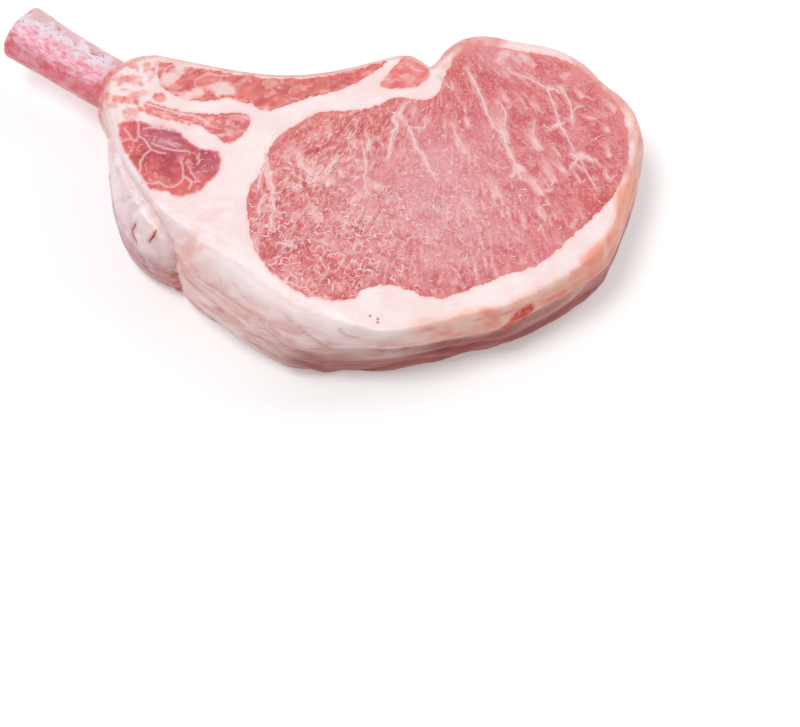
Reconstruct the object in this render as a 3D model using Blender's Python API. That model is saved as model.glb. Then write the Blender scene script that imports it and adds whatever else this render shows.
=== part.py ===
"""A raw pork rib chop with its rib bone left long and scraped clean, lying on one cut face.

The loin was sliced across, so every muscle and every layer of fat runs straight through from the
upper cut face to the lower one. The solid is made the same way. One whole slice is lofted from the
edge of its cut face. Upright prisms then part it into muscles, and what is left is the fat that
joins them. The rib is swept along its own curve and sits in a pocket at the slice's end.

Plan sizes are in millimetres from the middle of the loin eye, +X to the eye's outer end and +Y to
the rib side, and meshes are made in metres. The finished chop hangs on one empty, which puts its
origin at the middle of its box, on the surface that it lies on. Blender 4.5, +Z up.
"""

from math import cos, exp, hypot, pi, sin

import bmesh
import bpy
from mathutils import Vector

MM = 0.001

# Driving sizes, in millimetres
THICKNESS = 27.0  # between the two cut faces
SEAM_GAP = 0.3  # between one piece and the next
EDGE_SKIN = 1.7  # fat and membrane left between any muscle and the slice's edge
FOOT_ROUND = 3.0  # rounding where the side meets the lower cut face
BONE_HEIGHT = 17.0  # rib's centre line above the lower cut face
BONE_WIDE = 16.2  # rib measured level
BONE_DEEP = 13.6  # rib measured up and down
BONE_POCKET = 0.4  # flesh stands this far off the rib
CUTTER_OVERRUN = 6.0  # cutters run this far past what they cut

# Long shallow folds that run along the side of the back fat
FOLD_HEIGHTS = (0.26, 0.55)  # share of the side's height
FOLD_WIDE = 0.085  # share of the side's height
FOLD_DRIFT = 0.06  # how far a fold wanders up and down
FOLD_WAVES = 9  # wanderings in one turn of the rim
FOLD_LAG = 2.3  # radians between one fold's wandering and the next one's

# The edge between the side and the cut face is part of a superellipse of power
# EDGE_SQUARENESS + EDGE_TIGHTNESS / shoulder, so a rounder shoulder is also a softer curve
EDGE_SQUARENESS = 2.2
EDGE_TIGHTNESS = 4.0

# How finely the curves are cut into flats
RIM_COUNT = 120
SIDE_LEVELS = (
    0.1, 0.2, 0.3, 0.4, 0.5, 0.6, 0.7, 0.79, 0.87, 0.93, 0.97, 0.99, 1.0,
)
FOOT_STEPS = 3
RIM_NORMAL_REACH = 3  # rim points to each side that its outward direction is read over
BONE_SIDES = 24
BONE_RINGS = 18
SHARP_FROM = 0.7  # radians between faces, above which an edge is drawn sharp

# The edge of the upper cut face, anticlockwise. Each station is x, y, how far the foot of the side
# stands outside the edge, how far the side swells halfway down, how round the edge is, and how deep
# the folds are.
RIM = [
    # rib side, from the nick beside the backbone to the collar round the rib
    (0.0, 36.3, 0.0, 1.0, 1.4, 0.0),
    (-3.0, 39.0, 0.0, 1.5, 1.6, 0.0),
    (-8.0, 40.6, 0.0, 2.0, 1.8, 0.0),
    (-24.0, 37.2, 0.0, 3.0, 2.0, 0.2),
    (-37.0, 36.2, 0.0, 3.5, 2.0, 0.2),
    (-50.0, 38.0, 0.0, 3.5, 2.0, 0.2),
    (-68.0, 42.6, 0.0, 4.0, 2.2, 0.0),
    (-77.0, 44.6, 0.0, 4.5, 2.6, 0.0),
    # collar of flesh where the rib comes out
    (-84.0, 43.4, -0.5, 5.0, 3.2, 0.0),
    (-90.0, 39.5, -1.5, 3.5, 4.0, 0.0),
    (-92.0, 34.0, -1.5, 2.5, 4.0, 0.0),
    (-91.2, 28.0, -1.4, 1.0, 3.0, 0.0),
    (-89.0, 21.6, -0.6, 0.3, 2.2, 0.0),
    # side of the flank muscle, behind the belly flap
    (-86.0, 14.2, 0.5, 0.0, 1.6, 0.0),
    (-82.2, 7.0, 1.0, 0.0, 1.6, 0.0),
    (-78.2, 0.0, 1.0, 0.3, 2.0, 0.0),
    (-74.2, -5.6, 2.0, 0.5, 3.2, 0.0),
    # rounded end of the back fat, beside the flap
    (-69.6, -9.8, 4.5, 1.5, 5.0, 0.3),
    (-64.0, -13.6, 8.5, 2.0, 6.5, 0.6),
    (-55.0, -20.4, 9.5, 2.5, 7.5, 0.9),
    (-47.0, -27.4, 9.5, 2.5, 7.0, 1.0),
    (-39.0, -32.4, 9.5, 2.0, 6.0, 1.0),
    (-31.0, -36.0, 7.5, 1.5, 4.5, 1.0),
    # thick stretch of back fat, cut square
    (-25.0, -40.0, 3.5, 1.0, 3.0, 1.0),
    (-19.0, -43.2, 0.5, 1.0, 2.2, 1.0),
    (-11.0, -44.0, -1.0, 1.0, 2.0, 0.9),
    (4.0, -41.2, -1.0, 1.0, 2.0, 0.9),
    (16.0, -37.8, 0.5, 1.0, 2.0, 0.8),
    (29.0, -32.5, 0.0, 1.0, 2.2, 0.7),
    (37.0, -28.9, -1.0, 1.0, 2.4, 0.6),
    # outer end of the loin
    (42.0, -25.0, -1.0, 1.0, 2.4, 0.5),
    (45.4, -19.0, 0.0, 1.0, 2.2, 0.4),
    (48.4, -10.0, 1.0, 1.0, 2.2, 0.3),
    (52.0, -1.5, 1.0, 1.0, 2.2, 0.3),
    (54.6, 6.0, 1.0, 0.6, 2.0, 0.3),
    (55.4, 12.0, 1.0, 0.6, 1.8, 0.3),
    (54.6, 18.0, 0.8, 0.6, 1.8, 0.3),
    (51.5, 23.4, 0.5, 0.6, 1.6, 0.3),
    (47.4, 28.0, 0.0, 0.6, 1.6, 0.3),
    (42.8, 34.4, 0.0, 0.6, 1.8, 0.3),
    (35.2, 39.7, 0.0, 0.6, 1.8, 0.3),
    (23.0, 43.3, 0.0, 1.0, 1.8, 0.3),
    (16.0, 45.3, 0.0, 1.0, 1.8, 0.2),
    (9.6, 44.6, 0.0, 1.0, 1.8, 0.0),
    (4.8, 41.4, 0.0, 1.0, 1.4, 0.0),
    (2.4, 38.2, 0.0, 0.6, 1.2, 0.0),
]

# Muscle edges on the cut face, anticlockwise
LOIN_EYE = [
    (11.0, 41.6), (8.0, 39.5), (5.6, 36.0), (3.2, 31.0), (0.5, 26.4), (-3.0, 25.3), (-8.0, 27.0),
    (-13.0, 26.0), (-18.0, 23.8), (-24.5, 23.8), (-31.0, 23.8), (-37.0, 20.8), (-42.0, 18.0),
    (-45.5, 13.5), (-48.0, 6.5), (-51.2, 3.0), (-52.6, -6.0), (-51.0, -15.5), (-47.5, -22.5),
    (-43.0, -26.8), (-38.0, -30.6), (-30.0, -33.0), (-24.0, -32.0), (-22.4, -29.8), (-16.0, -29.3),
    (-11.0, -31.2), (-5.0, -33.8), (1.0, -33.4), (15.0, -28.6), (24.5, -26.0), (30.0, -22.0),
    (38.5, -14.8), (44.0, -10.0), (49.0, -3.0), (51.6, 4.0), (52.2, 11.0), (51.6, 17.5),
    (48.0, 24.0), (44.0, 28.8), (40.0, 33.2), (34.0, 36.6), (28.0, 38.0), (18.0, 40.8),
]
RIB_MEAT = [
    (-40.0, 52.0), (-74.0, 52.0), (-75.0, 41.0), (-74.0, 35.0), (-70.0, 31.0), (-64.0, 29.0),
    (-57.0, 29.6), (-50.0, 27.4), (-46.0, 24.8), (-41.0, 26.0), (-36.0, 27.4), (-27.0, 29.4),
    (-21.8, 31.0), (-15.5, 34.8), (-11.2, 38.6), (-12.0, 45.0),
]
CHINE_MEAT = [
    (-6.4, 46.0), (-7.4, 39.5), (-11.0, 35.0), (-14.6, 30.6), (-11.0, 29.2), (-5.0, 29.4),
    (-0.6, 31.6), (-0.2, 35.0), (-1.4, 40.0), (-3.0, 45.0),
]
SEAM_MUSCLE = [
    (-50.8, 24.6), (-56.0, 25.4), (-63.0, 25.4), (-70.0, 27.2), (-78.0, 30.4), (-79.4, 29.2),
    (-78.0, 27.6), (-71.0, 24.6), (-65.0, 22.2), (-60.5, 19.0), (-56.4, 15.6), (-52.0, 18.6),
    (-49.8, 22.0),
]
FLANK_MUSCLE = [
    (-67.4, 18.0), (-69.6, 20.6), (-75.0, 22.6), (-81.0, 24.6), (-86.2, 24.4), (-86.2, 20.0),
    (-85.4, 14.0), (-83.0, 5.5), (-79.0, 3.6), (-74.6, 2.4), (-71.0, 0.8), (-66.4, 1.0),
    (-62.0, 4.2), (-59.0, 7.4), (-58.2, 11.0), (-59.8, 14.0), (-63.2, 14.4),
]
# The belly flap hangs against the side. Each station runs along its root on the side, from the
# collar down to the end of the back fat: x, y of the root, then how far it stands out at its
# fullest, and the heights of its top and its fullest part.
BELLY_FLAP = [
    (-89.6, 26.6, 0.4, 20.0, 9.0),
    (-88.6, 21.0, 1.3, 24.0, 9.0),
    (-86.0, 14.2, 4.2, 25.8, 9.0),
    (-82.6, 7.6, 7.4, 25.8, 9.0),
    (-79.0, 1.2, 9.3, 25.4, 8.5),
    (-75.4, -4.6, 9.4, 24.6, 8.0),
    (-72.2, -9.6, 7.6, 22.4, 7.5),
    (-69.6, -14.0, 4.6, 18.0, 7.0),
    (-67.4, -17.0, 1.2, 12.0, 6.0),
]
FLAP_STATIONS = 26
FLAP_SIDES = 24
FLAP_ROOT_DEPTH = 4.0  # the blank reaches this far into the side before it is trimmed to it
FLAP_FULLNESS = 0.8  # power of its section; below 1 it is fuller than an ellipse

PRISM_COUNTS = {
    "loin_eye": 96, "rib_meat": 56, "chine_meat": 30, "seam_muscle": 40, "flank_muscle": 44,
}

# Centre line of the rib: x, y, and a scale of its width there
BONE_ROUTE = [
    (-78.6, 35.4, 0.84),
    (-83.2, 37.7, 0.92),
    (-88.8, 41.5, 0.94),
    (-96.3, 47.0, 0.94),
    (-103.6, 52.6, 0.96),
    (-108.7, 56.6, 1.01),
    (-112.6, 59.7, 1.05),
]
BONE_END_ROUND = 1.6  # sawn end, its edge worn round
# The rings that round its two ends: share of BONE_END_ROUND past the end, and the scale there
BONE_BURIED_END = ((1.0, 0.72), (0.5, 0.93))
BONE_SAWN_END = ((0.6, 0.97), (1.0, 0.82))
BONE_GROOVE = 1.1  # depth of the groove along the rib's upper, rib-side flank
BONE_GROOVE_AT = 1.05  # where it lies round the bone, radians up from the level rib side
BONE_GROOVE_WIDE = 0.32

# Colour, roughness
FINISHES = {
    "loin_eye": ((0.62, 0.24, 0.23), 0.38),
    "fat_cap": ((0.87, 0.66, 0.60), 0.42),
    "rib_meat": ((0.70, 0.27, 0.23), 0.38),
    "chine_meat": ((0.74, 0.30, 0.25), 0.38),
    "seam_muscle": ((0.66, 0.24, 0.21), 0.38),
    "flank_muscle": ((0.50, 0.13, 0.13), 0.34),
    "belly_flap": ((0.78, 0.54, 0.52), 0.40),
    "rib_bone": ((0.72, 0.40, 0.42), 0.36),
}


# ---------------------------------------------------------------- curves


def catmull(a, b, c, d, t):
    """The point at share t between b and c on a Catmull-Rom curve through four stations."""
    return tuple(
        0.5 * (2 * q + (r - p) * t + (2 * p - 5 * q + 4 * r - s) * t * t
               + (3 * q - p - 3 * r + s) * t ** 3)
        for p, q, r, s in zip(a, b, c, d)
    )


def closed_curve(stations, count, fine=12):
    """count stations spaced evenly by length along the smooth closed curve through the given ones."""
    n = len(stations)
    dense = [
        catmull(stations[i - 1], stations[i], stations[(i + 1) % n], stations[(i + 2) % n], k / fine)
        for i in range(n)
        for k in range(fine)
    ]
    dense.append(dense[0])
    run = [0.0]
    for a, b in zip(dense, dense[1:]):
        run.append(run[-1] + hypot(b[0] - a[0], b[1] - a[1]))
    even, k = [], 0
    for j in range(count):
        want = run[-1] * j / count
        while run[k + 1] < want:
            k += 1
        share = (want - run[k]) / (run[k + 1] - run[k])
        even.append(tuple(p + (q - p) * share for p, q in zip(dense[k], dense[k + 1])))
    return even


def outward(points, reach):
    """Outward unit normals of an anticlockwise outline, read over reach points to each side."""
    n = len(points)
    normals = []
    for i in range(n):
        a, b = points[(i - reach) % n], points[(i + reach) % n]
        dx, dy = b[0] - a[0], b[1] - a[1]
        length = hypot(dx, dy)
        normals.append((dy / length, -dx / length))
    return normals


# ---------------------------------------------------------------- solids


def add_object(name, mesh, finish=None):
    """Links a mesh as a named object, shaded smooth across its gentle edges."""
    obj = bpy.data.objects.new(name, mesh)
    bpy.context.scene.collection.objects.link(obj)
    if finish:
        colour, roughness = finish
        material = bpy.data.materials.new(name)
        material.use_nodes = True
        shader = material.node_tree.nodes["Principled BSDF"]
        shader.inputs["Base Color"].default_value = (*colour, 1.0)
        shader.inputs["Roughness"].default_value = roughness
        shader.inputs["Metallic"].default_value = 0.0
        mesh.materials.append(material)
    mesh.shade_smooth()
    mesh.set_sharp_from_angle(angle=SHARP_FROM)
    return obj


def loft(name, rings):
    """A closed mesh through rings of equal count, each a list of (x, y, z) in millimetres."""
    bm = bmesh.new()
    loops = [[bm.verts.new(Vector(p) * MM) for p in ring] for ring in rings]
    n = len(rings[0])
    for low, high in zip(loops, loops[1:]):
        for i in range(n):
            j = (i + 1) % n
            bm.faces.new((low[i], low[j], high[j], high[i]))
    bm.faces.new(list(reversed(loops[0])))
    bm.faces.new(loops[-1])
    mesh = bpy.data.meshes.new(name)
    bm.to_mesh(mesh)
    bm.free()
    return mesh


def fold_depth(share, up):
    """How deep the folds cut at a share of the way round the rim and of the way up the side."""
    depth = 0.0
    for k, height in enumerate(FOLD_HEIGHTS):
        middle = height + FOLD_DRIFT * sin(2 * pi * FOLD_WAVES * share + FOLD_LAG * k)
        depth += exp(-(((up - middle) / FOLD_WIDE) ** 2))
    return depth


def side_profile(share, flare, swell, shoulder, folds):
    """(outward shift, height) pairs up the side of the slice, from its foot to the cut face."""
    pairs = []
    for k in range(FOOT_STEPS + 1):
        turn = (k / FOOT_STEPS) * pi / 2
        pairs.append((flare - FOOT_ROUND * (1 - sin(turn)), FOOT_ROUND * (1 - cos(turn))))
    power = EDGE_SQUARENESS + EDGE_TIGHTNESS / shoulder
    for up in SIDE_LEVELS:
        curve = max(0.0, 1 - up ** power) ** (1 / power)
        spread = (flare + shoulder) * curve - shoulder + swell * sin(pi * up)
        spread -= folds * fold_depth(share, up)
        pairs.append((spread, FOOT_ROUND + (THICKNESS - FOOT_ROUND) * up))
    return pairs


def slice_mesh(grow=0.0):
    """The whole slice of loin as one solid, or that solid with its side moved outward by grow."""
    rim = closed_curve(RIM, RIM_COUNT)
    normals = outward(rim, RIM_NORMAL_REACH)
    columns = []
    for k, ((x, y, *form), (nx, ny)) in enumerate(zip(rim, normals)):
        columns.append([
            (x + nx * (out + grow), y + ny * (out + grow), z)
            for out, z in side_profile(k / RIM_COUNT, *form)
        ])
    return loft("slice", [list(ring) for ring in zip(*columns)])


def prism(name, stations, count, grow):
    """An upright cutter through both cut faces, its outline moved outward by grow millimetres."""
    line = closed_curve(stations, count)
    moved = [
        (x + nx * grow, y + ny * grow) for (x, y), (nx, ny) in zip(line, outward(line, 1))
    ]
    rings = [[(x, y, z) for x, y in moved] for z in (-CUTTER_OVERRUN, THICKNESS + CUTTER_OVERRUN)]
    return cutter(name, loft(name, rings))


def flap_mesh(name):
    """The belly flap's blank: a fold of skin and fat along the side, thin at both its ends."""
    n = len(BELLY_FLAP)
    padded = [BELLY_FLAP[0]] + BELLY_FLAP + [BELLY_FLAP[-1]]
    line = []
    for k in range(FLAP_STATIONS + 1):
        place = k / FLAP_STATIONS * (n - 1)
        i = min(int(place), n - 2)
        line.append(catmull(*padded[i:i + 4], place - i))
    rings = []
    for k, (x, y, out, top, full) in enumerate(line):
        a, b = line[max(k - 1, 0)], line[min(k + 1, FLAP_STATIONS)]
        ahead = Vector((b[0] - a[0], b[1] - a[1])).normalized()
        side = Vector((ahead.y, -ahead.x))
        ring = []
        for s in range(FLAP_SIDES):
            turn = 2 * pi * s / FLAP_SIDES
            reach = out if cos(turn) > 0 else FLAP_ROOT_DEPTH
            level = reach * abs(cos(turn)) ** FLAP_FULLNESS * (1 if cos(turn) > 0 else -1)
            rise = (top - full) if sin(turn) > 0 else full
            lift = full + rise * abs(sin(turn)) ** FLAP_FULLNESS * (1 if sin(turn) > 0 else -1)
            ring.append((x + side.x * level, y + side.y * level, lift))
        rings.append(ring)
    return loft(name, rings)


def bone_section(turn):
    """Distance of the rib's skin from its centre line, as a share of its half width."""
    off = (turn - BONE_GROOVE_AT + pi) % (2 * pi) - pi
    groove = BONE_GROOVE * 2 / BONE_WIDE * exp(-((off / BONE_GROOVE_WIDE) ** 2))
    return 1.0 - groove


def bone_mesh(name, grow, overrun=0.0):
    """The rib, swept along its route. Its sawn end has a rounded edge. overrun lengthens it there."""
    n = len(BONE_ROUTE)
    padded = [BONE_ROUTE[0]] + BONE_ROUTE + [BONE_ROUTE[-1]]
    path = []
    for k in range(BONE_RINGS + 1):
        place = k / BONE_RINGS * (n - 1)
        i = min(int(place), n - 2)
        path.append(catmull(*padded[i:i + 4], place - i))
    start, finish = Vector(path[0][:2]), Vector(path[-1][:2])
    heading = (Vector(path[-1][:2]) - Vector(path[-2][:2])).normalized()
    back = (Vector(path[0][:2]) - Vector(path[1][:2])).normalized()
    ends = [
        (start + back * (BONE_END_ROUND * share + grow), path[0][2] * scale)
        for share, scale in BONE_BURIED_END
    ]
    tips = [
        (finish + heading * (BONE_END_ROUND * share + grow + overrun), path[-1][2] * scale)
        for share, scale in BONE_SAWN_END
    ]
    route = ends + [(Vector(p[:2]), p[2]) for p in path] + tips
    rings = []
    for k, (centre, scale) in enumerate(route):
        a, b = route[max(k - 1, 0)][0], route[min(k + 1, len(route) - 1)][0]
        ahead = (b - a).normalized()
        side = Vector((ahead.y, -ahead.x))
        ring = []
        for s in range(BONE_SIDES):
            turn = 2 * pi * s / BONE_SIDES
            reach = bone_section(turn) * scale
            level = (BONE_WIDE / 2 * reach + grow) * cos(turn)
            lift = (BONE_DEEP / 2 * reach + grow) * sin(turn)
            ring.append((centre.x + side.x * level, centre.y + side.y * level, BONE_HEIGHT + lift))
        rings.append(ring)
    return loft(name, [list(reversed(ring)) for ring in rings])


def cutter(name, mesh):
    """A helper shape for a Boolean, kept out of renders."""
    obj = bpy.data.objects.new(name, mesh)
    bpy.context.scene.collection.objects.link(obj)
    obj.hide_render = True
    obj.display_type = "WIRE"
    return obj


def cut(obj, operation, other):
    """Adds an exact Boolean with a cutter."""
    modifier = obj.modifiers.new(f"{operation.lower()} {other.name}", "BOOLEAN")
    modifier.operation = operation
    modifier.solver = "EXACT"
    modifier.object = other


# ---------------------------------------------------------------- the chop


def build():
    for obj in list(bpy.data.objects):
        bpy.data.objects.remove(obj)
    whole = slice_mesh()
    rib = bone_mesh("rib_bone", 0.0)
    flap_blank = flap_mesh("belly_flap")
    outlines = {
        "loin_eye": LOIN_EYE, "rib_meat": RIB_MEAT, "chine_meat": CHINE_MEAT,
        "seam_muscle": SEAM_MUSCLE, "flank_muscle": FLANK_MUSCLE,
    }
    # no muscle comes nearer the edge than the skin of fat round the slice
    edge = [station[:2] for station in RIM]
    inside = prism("inside_skin", edge, RIM_COUNT, -EDGE_SKIN)
    inside_clear = prism("inside_skin_clear", edge, RIM_COUNT, SEAM_GAP - EDGE_SKIN)
    pocket = cutter("rib_pocket", bone_mesh("rib_pocket", BONE_POCKET, overrun=CUTTER_OVERRUN))

    # each muscle is the slice inside its own prism
    fat = add_object("fat_cap", whole.copy(), FINISHES["fat_cap"])
    for name, stations in outlines.items():
        count = PRISM_COUNTS[name]
        muscle = add_object(name, whole.copy(), FINISHES[name])
        cut(muscle, "INTERSECT", inside)
        cut(muscle, "INTERSECT", prism(f"keep_{name}", stations, count, -SEAM_GAP / 2))
        clear = prism(f"clear_{name}", stations, count, SEAM_GAP / 2)
        cut(clear, "INTERSECT", inside_clear)
        cut(fat, "DIFFERENCE", clear)

    # the fat is what is left, with the rib's pocket opened in it
    cut(fat, "DIFFERENCE", pocket)

    flap = add_object("belly_flap", flap_blank, FINISHES["belly_flap"])
    cut(flap, "DIFFERENCE", cutter("slice_clear", slice_mesh(SEAM_GAP)))

    add_object("rib_bone", rib, FINISHES["rib_bone"])

    # one empty carries the whole chop and puts the middle of its box over the origin
    corners = [vertex.co for mesh in (whole, rib, flap_blank) for vertex in mesh.vertices]
    chop = bpy.data.objects.new("chop", None)
    for axis in (0, 1):
        reach = [corner[axis] for corner in corners]
        chop.location[axis] = -(min(reach) + max(reach)) / 2
    for obj in bpy.context.scene.collection.objects:
        obj.parent = chop
    bpy.context.scene.collection.objects.link(chop)


build()
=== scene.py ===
from math import cos, pi, radians, sin

import bmesh
import bpy
import numpy as np
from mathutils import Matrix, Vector, geometry
from mathutils.bvhtree import BVHTree
from mathutils.kdtree import KDTree


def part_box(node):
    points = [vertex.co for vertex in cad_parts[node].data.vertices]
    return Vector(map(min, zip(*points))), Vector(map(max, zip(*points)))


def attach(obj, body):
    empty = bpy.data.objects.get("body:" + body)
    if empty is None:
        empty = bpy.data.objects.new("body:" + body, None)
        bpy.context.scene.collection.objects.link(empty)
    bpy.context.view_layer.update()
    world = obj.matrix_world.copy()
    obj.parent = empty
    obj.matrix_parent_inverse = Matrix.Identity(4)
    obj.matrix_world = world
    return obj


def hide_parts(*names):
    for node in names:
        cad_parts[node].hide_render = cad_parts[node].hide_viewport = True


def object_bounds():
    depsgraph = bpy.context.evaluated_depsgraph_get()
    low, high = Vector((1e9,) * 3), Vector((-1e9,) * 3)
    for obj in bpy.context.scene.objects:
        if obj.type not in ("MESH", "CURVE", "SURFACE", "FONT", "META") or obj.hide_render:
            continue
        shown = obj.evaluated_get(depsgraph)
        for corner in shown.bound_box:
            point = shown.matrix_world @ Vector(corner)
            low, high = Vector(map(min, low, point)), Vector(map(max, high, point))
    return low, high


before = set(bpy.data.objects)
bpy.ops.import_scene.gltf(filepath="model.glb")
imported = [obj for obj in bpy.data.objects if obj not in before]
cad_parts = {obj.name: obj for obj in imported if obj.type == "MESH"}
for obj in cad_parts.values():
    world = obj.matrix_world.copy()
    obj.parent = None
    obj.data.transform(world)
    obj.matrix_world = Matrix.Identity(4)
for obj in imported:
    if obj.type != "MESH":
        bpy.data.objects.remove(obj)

cad_low, cad_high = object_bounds()

# ================================================================ the slice
# A chop is one slice sawn straight across the loin, so its muscles and its fat share two cut faces
# and one side. The whole slice is shaped here once: its cut faces, its side and the outlines where
# muscle meets fat. Each piece then takes its own share of it, and neighbours meet with no gap.
# Sizes are in millimetres, and places are measured from the middle of the loin eye.

MM = 0.001
THICK = (cad_high[2] - cad_low[2]) / MM
eye_low, eye_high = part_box("loin_eye")
MIDDLE = np.array([
    (eye_low[0] + eye_high[0]) / 2 + 0.15 * MM, (eye_low[1] + eye_high[1]) / 2 - 3.8 * MM, cad_low[2],
])
MUSCLES = ("loin_eye", "rib_meat", "chine_meat", "seam_muscle", "flank_muscle")

SIDE_STEP = 0.5  # spacing of the columns that the side is made of
CROWN_HEIGHT = 24.3  # the upper cut face is shaped from here up
CROWN_INSET = 1.2  # and from this far inside the slice's edge
FOOT_HEIGHT = 0.8  # the lower cut face is shaped from here down


def noise(points, size, seed):
    """Smooth noise from about -1 to 1, with lumps of the given size in millimetres."""
    draw = np.random.default_rng(seed)
    order = draw.permutation(256)
    slopes = draw.normal(size=(256, points.shape[1]))
    slopes /= np.linalg.norm(slopes, axis=1)[:, None]
    cell = points / np.asarray(size, float)
    base = np.floor(cell).astype(int)
    part = cell - base
    ease = part ** 3 * (part * (part * 6 - 15) + 10)
    total = np.zeros(len(points))
    for corner in np.ndindex(*(2,) * points.shape[1]):
        key = np.zeros(len(points), int)
        weight = np.ones(len(points))
        for axis, step in enumerate(corner):
            key = order[(key + base[:, axis] + step) & 255]
            weight *= ease[:, axis] if step else 1 - ease[:, axis]
        total += weight * ((part - corner) * slopes[key]).sum(1)
    return 1.6 * total


def rough(points, size, seed, octaves=4):
    """Noise with finer noise on it, each octave half the size and half as strong."""
    return sum(noise(points, np.asarray(size) / 2 ** k, seed + k) / 2 ** k for k in range(octaves))


def ramp(value, low, high):
    """0 below low, 1 above high, and a smooth rise between."""
    share = np.clip((value - low) / (high - low), 0, 1)
    return share * share * (3 - 2 * share)


def outlines(node, height):
    """The closed outlines where a level cut goes through a CAD node, the longest first."""
    bm = bmesh.new()
    bm.from_mesh(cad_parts[node].data)
    bmesh.ops.remove_doubles(bm, verts=bm.verts, dist=1e-6)
    made = bmesh.ops.bisect_plane(
        bm, geom=bm.verts[:] + bm.edges[:] + bm.faces[:],
        plane_co=(0, 0, MIDDLE[2] + height * MM), plane_no=(0, 0, 1),
    )
    beside = {}
    for part in made["geom_cut"]:
        if isinstance(part, bmesh.types.BMEdge):
            one, two = part.verts
            beside.setdefault(one, []).append(two)
            beside.setdefault(two, []).append(one)
    loops = []
    while beside:
        vert = next(iter(beside))
        loop = []
        while vert is not None:
            loop.append(vert.co[:2])
            vert = next((other for other in beside.pop(vert) if other in beside), None)
        loops.append((np.array(loop) - MIDDLE[:2]) / MM)
    bm.free()
    return sorted(loops, key=lambda loop: -np.ptp(loop, axis=0).sum())


def even(loop, step):
    """The same closed outline with its points step millimetres apart, anticlockwise."""
    x, y = loop.T
    if (x * np.roll(y, -1) - y * np.roll(x, -1)).sum() < 0:
        loop = loop[::-1]
    closed = np.vstack([loop, loop[:1]])
    run = np.concatenate([[0], np.cumsum(np.linalg.norm(np.diff(closed, axis=0), axis=1))])
    want = np.linspace(0, run[-1], max(12, round(run[-1] / step)), endpoint=False)
    return np.column_stack([np.interp(want, run, closed[:, k]) for k in (0, 1)])


def soften(rows, reach):
    """Rows of values round a closed outline, averaged over reach rows to each side."""
    out = np.zeros_like(rows)
    total = 0
    for k in range(-reach, reach + 1):
        weight = 1 + cos(pi * k / (reach + 1))
        out += weight * np.roll(rows, k, axis=0)
        total += weight
    return out / total


def normals_of(loop, reach=3):
    """Outward normals of an anticlockwise outline."""
    ahead = soften(np.roll(loop, -1, axis=0) - np.roll(loop, 1, axis=0), reach)
    ahead /= np.linalg.norm(ahead, axis=1)[:, None]
    return np.column_stack([ahead[:, 1], -ahead[:, 0]])


def inside(points, loop):
    """True for each point that lies inside a closed outline."""
    odd = np.zeros(len(points), bool)
    for (ax, ay), (bx, by) in zip(loop, np.roll(loop, -1, axis=0)):
        if ay == by:
            continue
        cross = (points[:, 1] > ay) != (points[:, 1] > by)
        odd ^= cross & (points[:, 0] < ax + (points[:, 1] - ay) * (bx - ax) / (by - ay))
    return odd


def distance_to(points, loop):
    """Distance from each point to the nearest point of an outline or a set of points."""
    tree = KDTree(len(loop))
    for k, (x, y) in enumerate(loop):
        tree.insert((x, y, 0), k)
    tree.balance()
    return np.array([tree.find((x, y, 0))[2] for x, y in points])


# the solid of the whole slice, with the rib in it, for reading its surface
tree_nodes = ("fat_cap",) + MUSCLES + ("rib_bone",)
corners, owner = [], []
for name in tree_nodes:
    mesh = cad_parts[name].data
    mesh.calc_loop_triangles()
    points = np.array([v.co for v in mesh.vertices])
    faces = np.array([t.vertices for t in mesh.loop_triangles])
    corners.append(((points[faces] - MIDDLE) / MM).reshape(-1, 3))
    owner += [name] * len(faces)
corners = np.vstack(corners)
surface = BVHTree.FromPolygons(
    [tuple(p) for p in corners], [(k, k + 1, k + 2) for k in range(0, len(corners), 3)], epsilon=0.0,
)
SEAM = 0.7  # the solids' own gaps are narrower than this


def way_out(start, direction, limit):
    """How far a ray from inside the slice goes before it leaves it. None where the rib is in the way."""
    start, direction = Vector(start), Vector(direction)
    gone, leaving = 0.0, None
    while gone < limit:
        hit, normal, face, step = surface.ray_cast(start + direction * gone, direction, limit - gone)
        if hit is None:
            break
        if leaving is not None and step > SEAM:
            break
        gone += step + 1e-4
        leaving = (gone, owner[face]) if normal.dot(direction) > 0 else None
    if leaving is None or leaving[1] == "rib_bone":
        return None
    return leaving[0]


def top_height(x, y):
    """Height of the slice's upper surface, read over the narrow gaps between its solids."""
    best = 0.0
    for dx, dy in ((0, 0), (0.32, 0), (-0.32, 0), (0, 0.32), (0, -0.32)):
        hit = surface.ray_cast(Vector((x + dx, y + dy, THICK + 5)), Vector((0, 0, -1)))
        if hit[0] is not None and owner[hit[2]] != "rib_bone":
            best = max(best, hit[0].z)
        if best > 0 and dx == dy == 0:
            break
    return best


def foot_height(x, y):
    """Height of the slice's lower surface."""
    best = THICK
    for dx, dy in ((0, 0), (0.32, 0), (-0.32, 0), (0, 0.32), (0, -0.32)):
        hit = surface.ray_cast(Vector((x + dx, y + dy, -5)), Vector((0, 0, 1)))
        if hit[0] is not None and hit[0].z < 6:
            best = min(best, hit[0].z)
        if best < THICK and dx == dy == 0:
            break
    return min(best, FOOT_HEIGHT)


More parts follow.
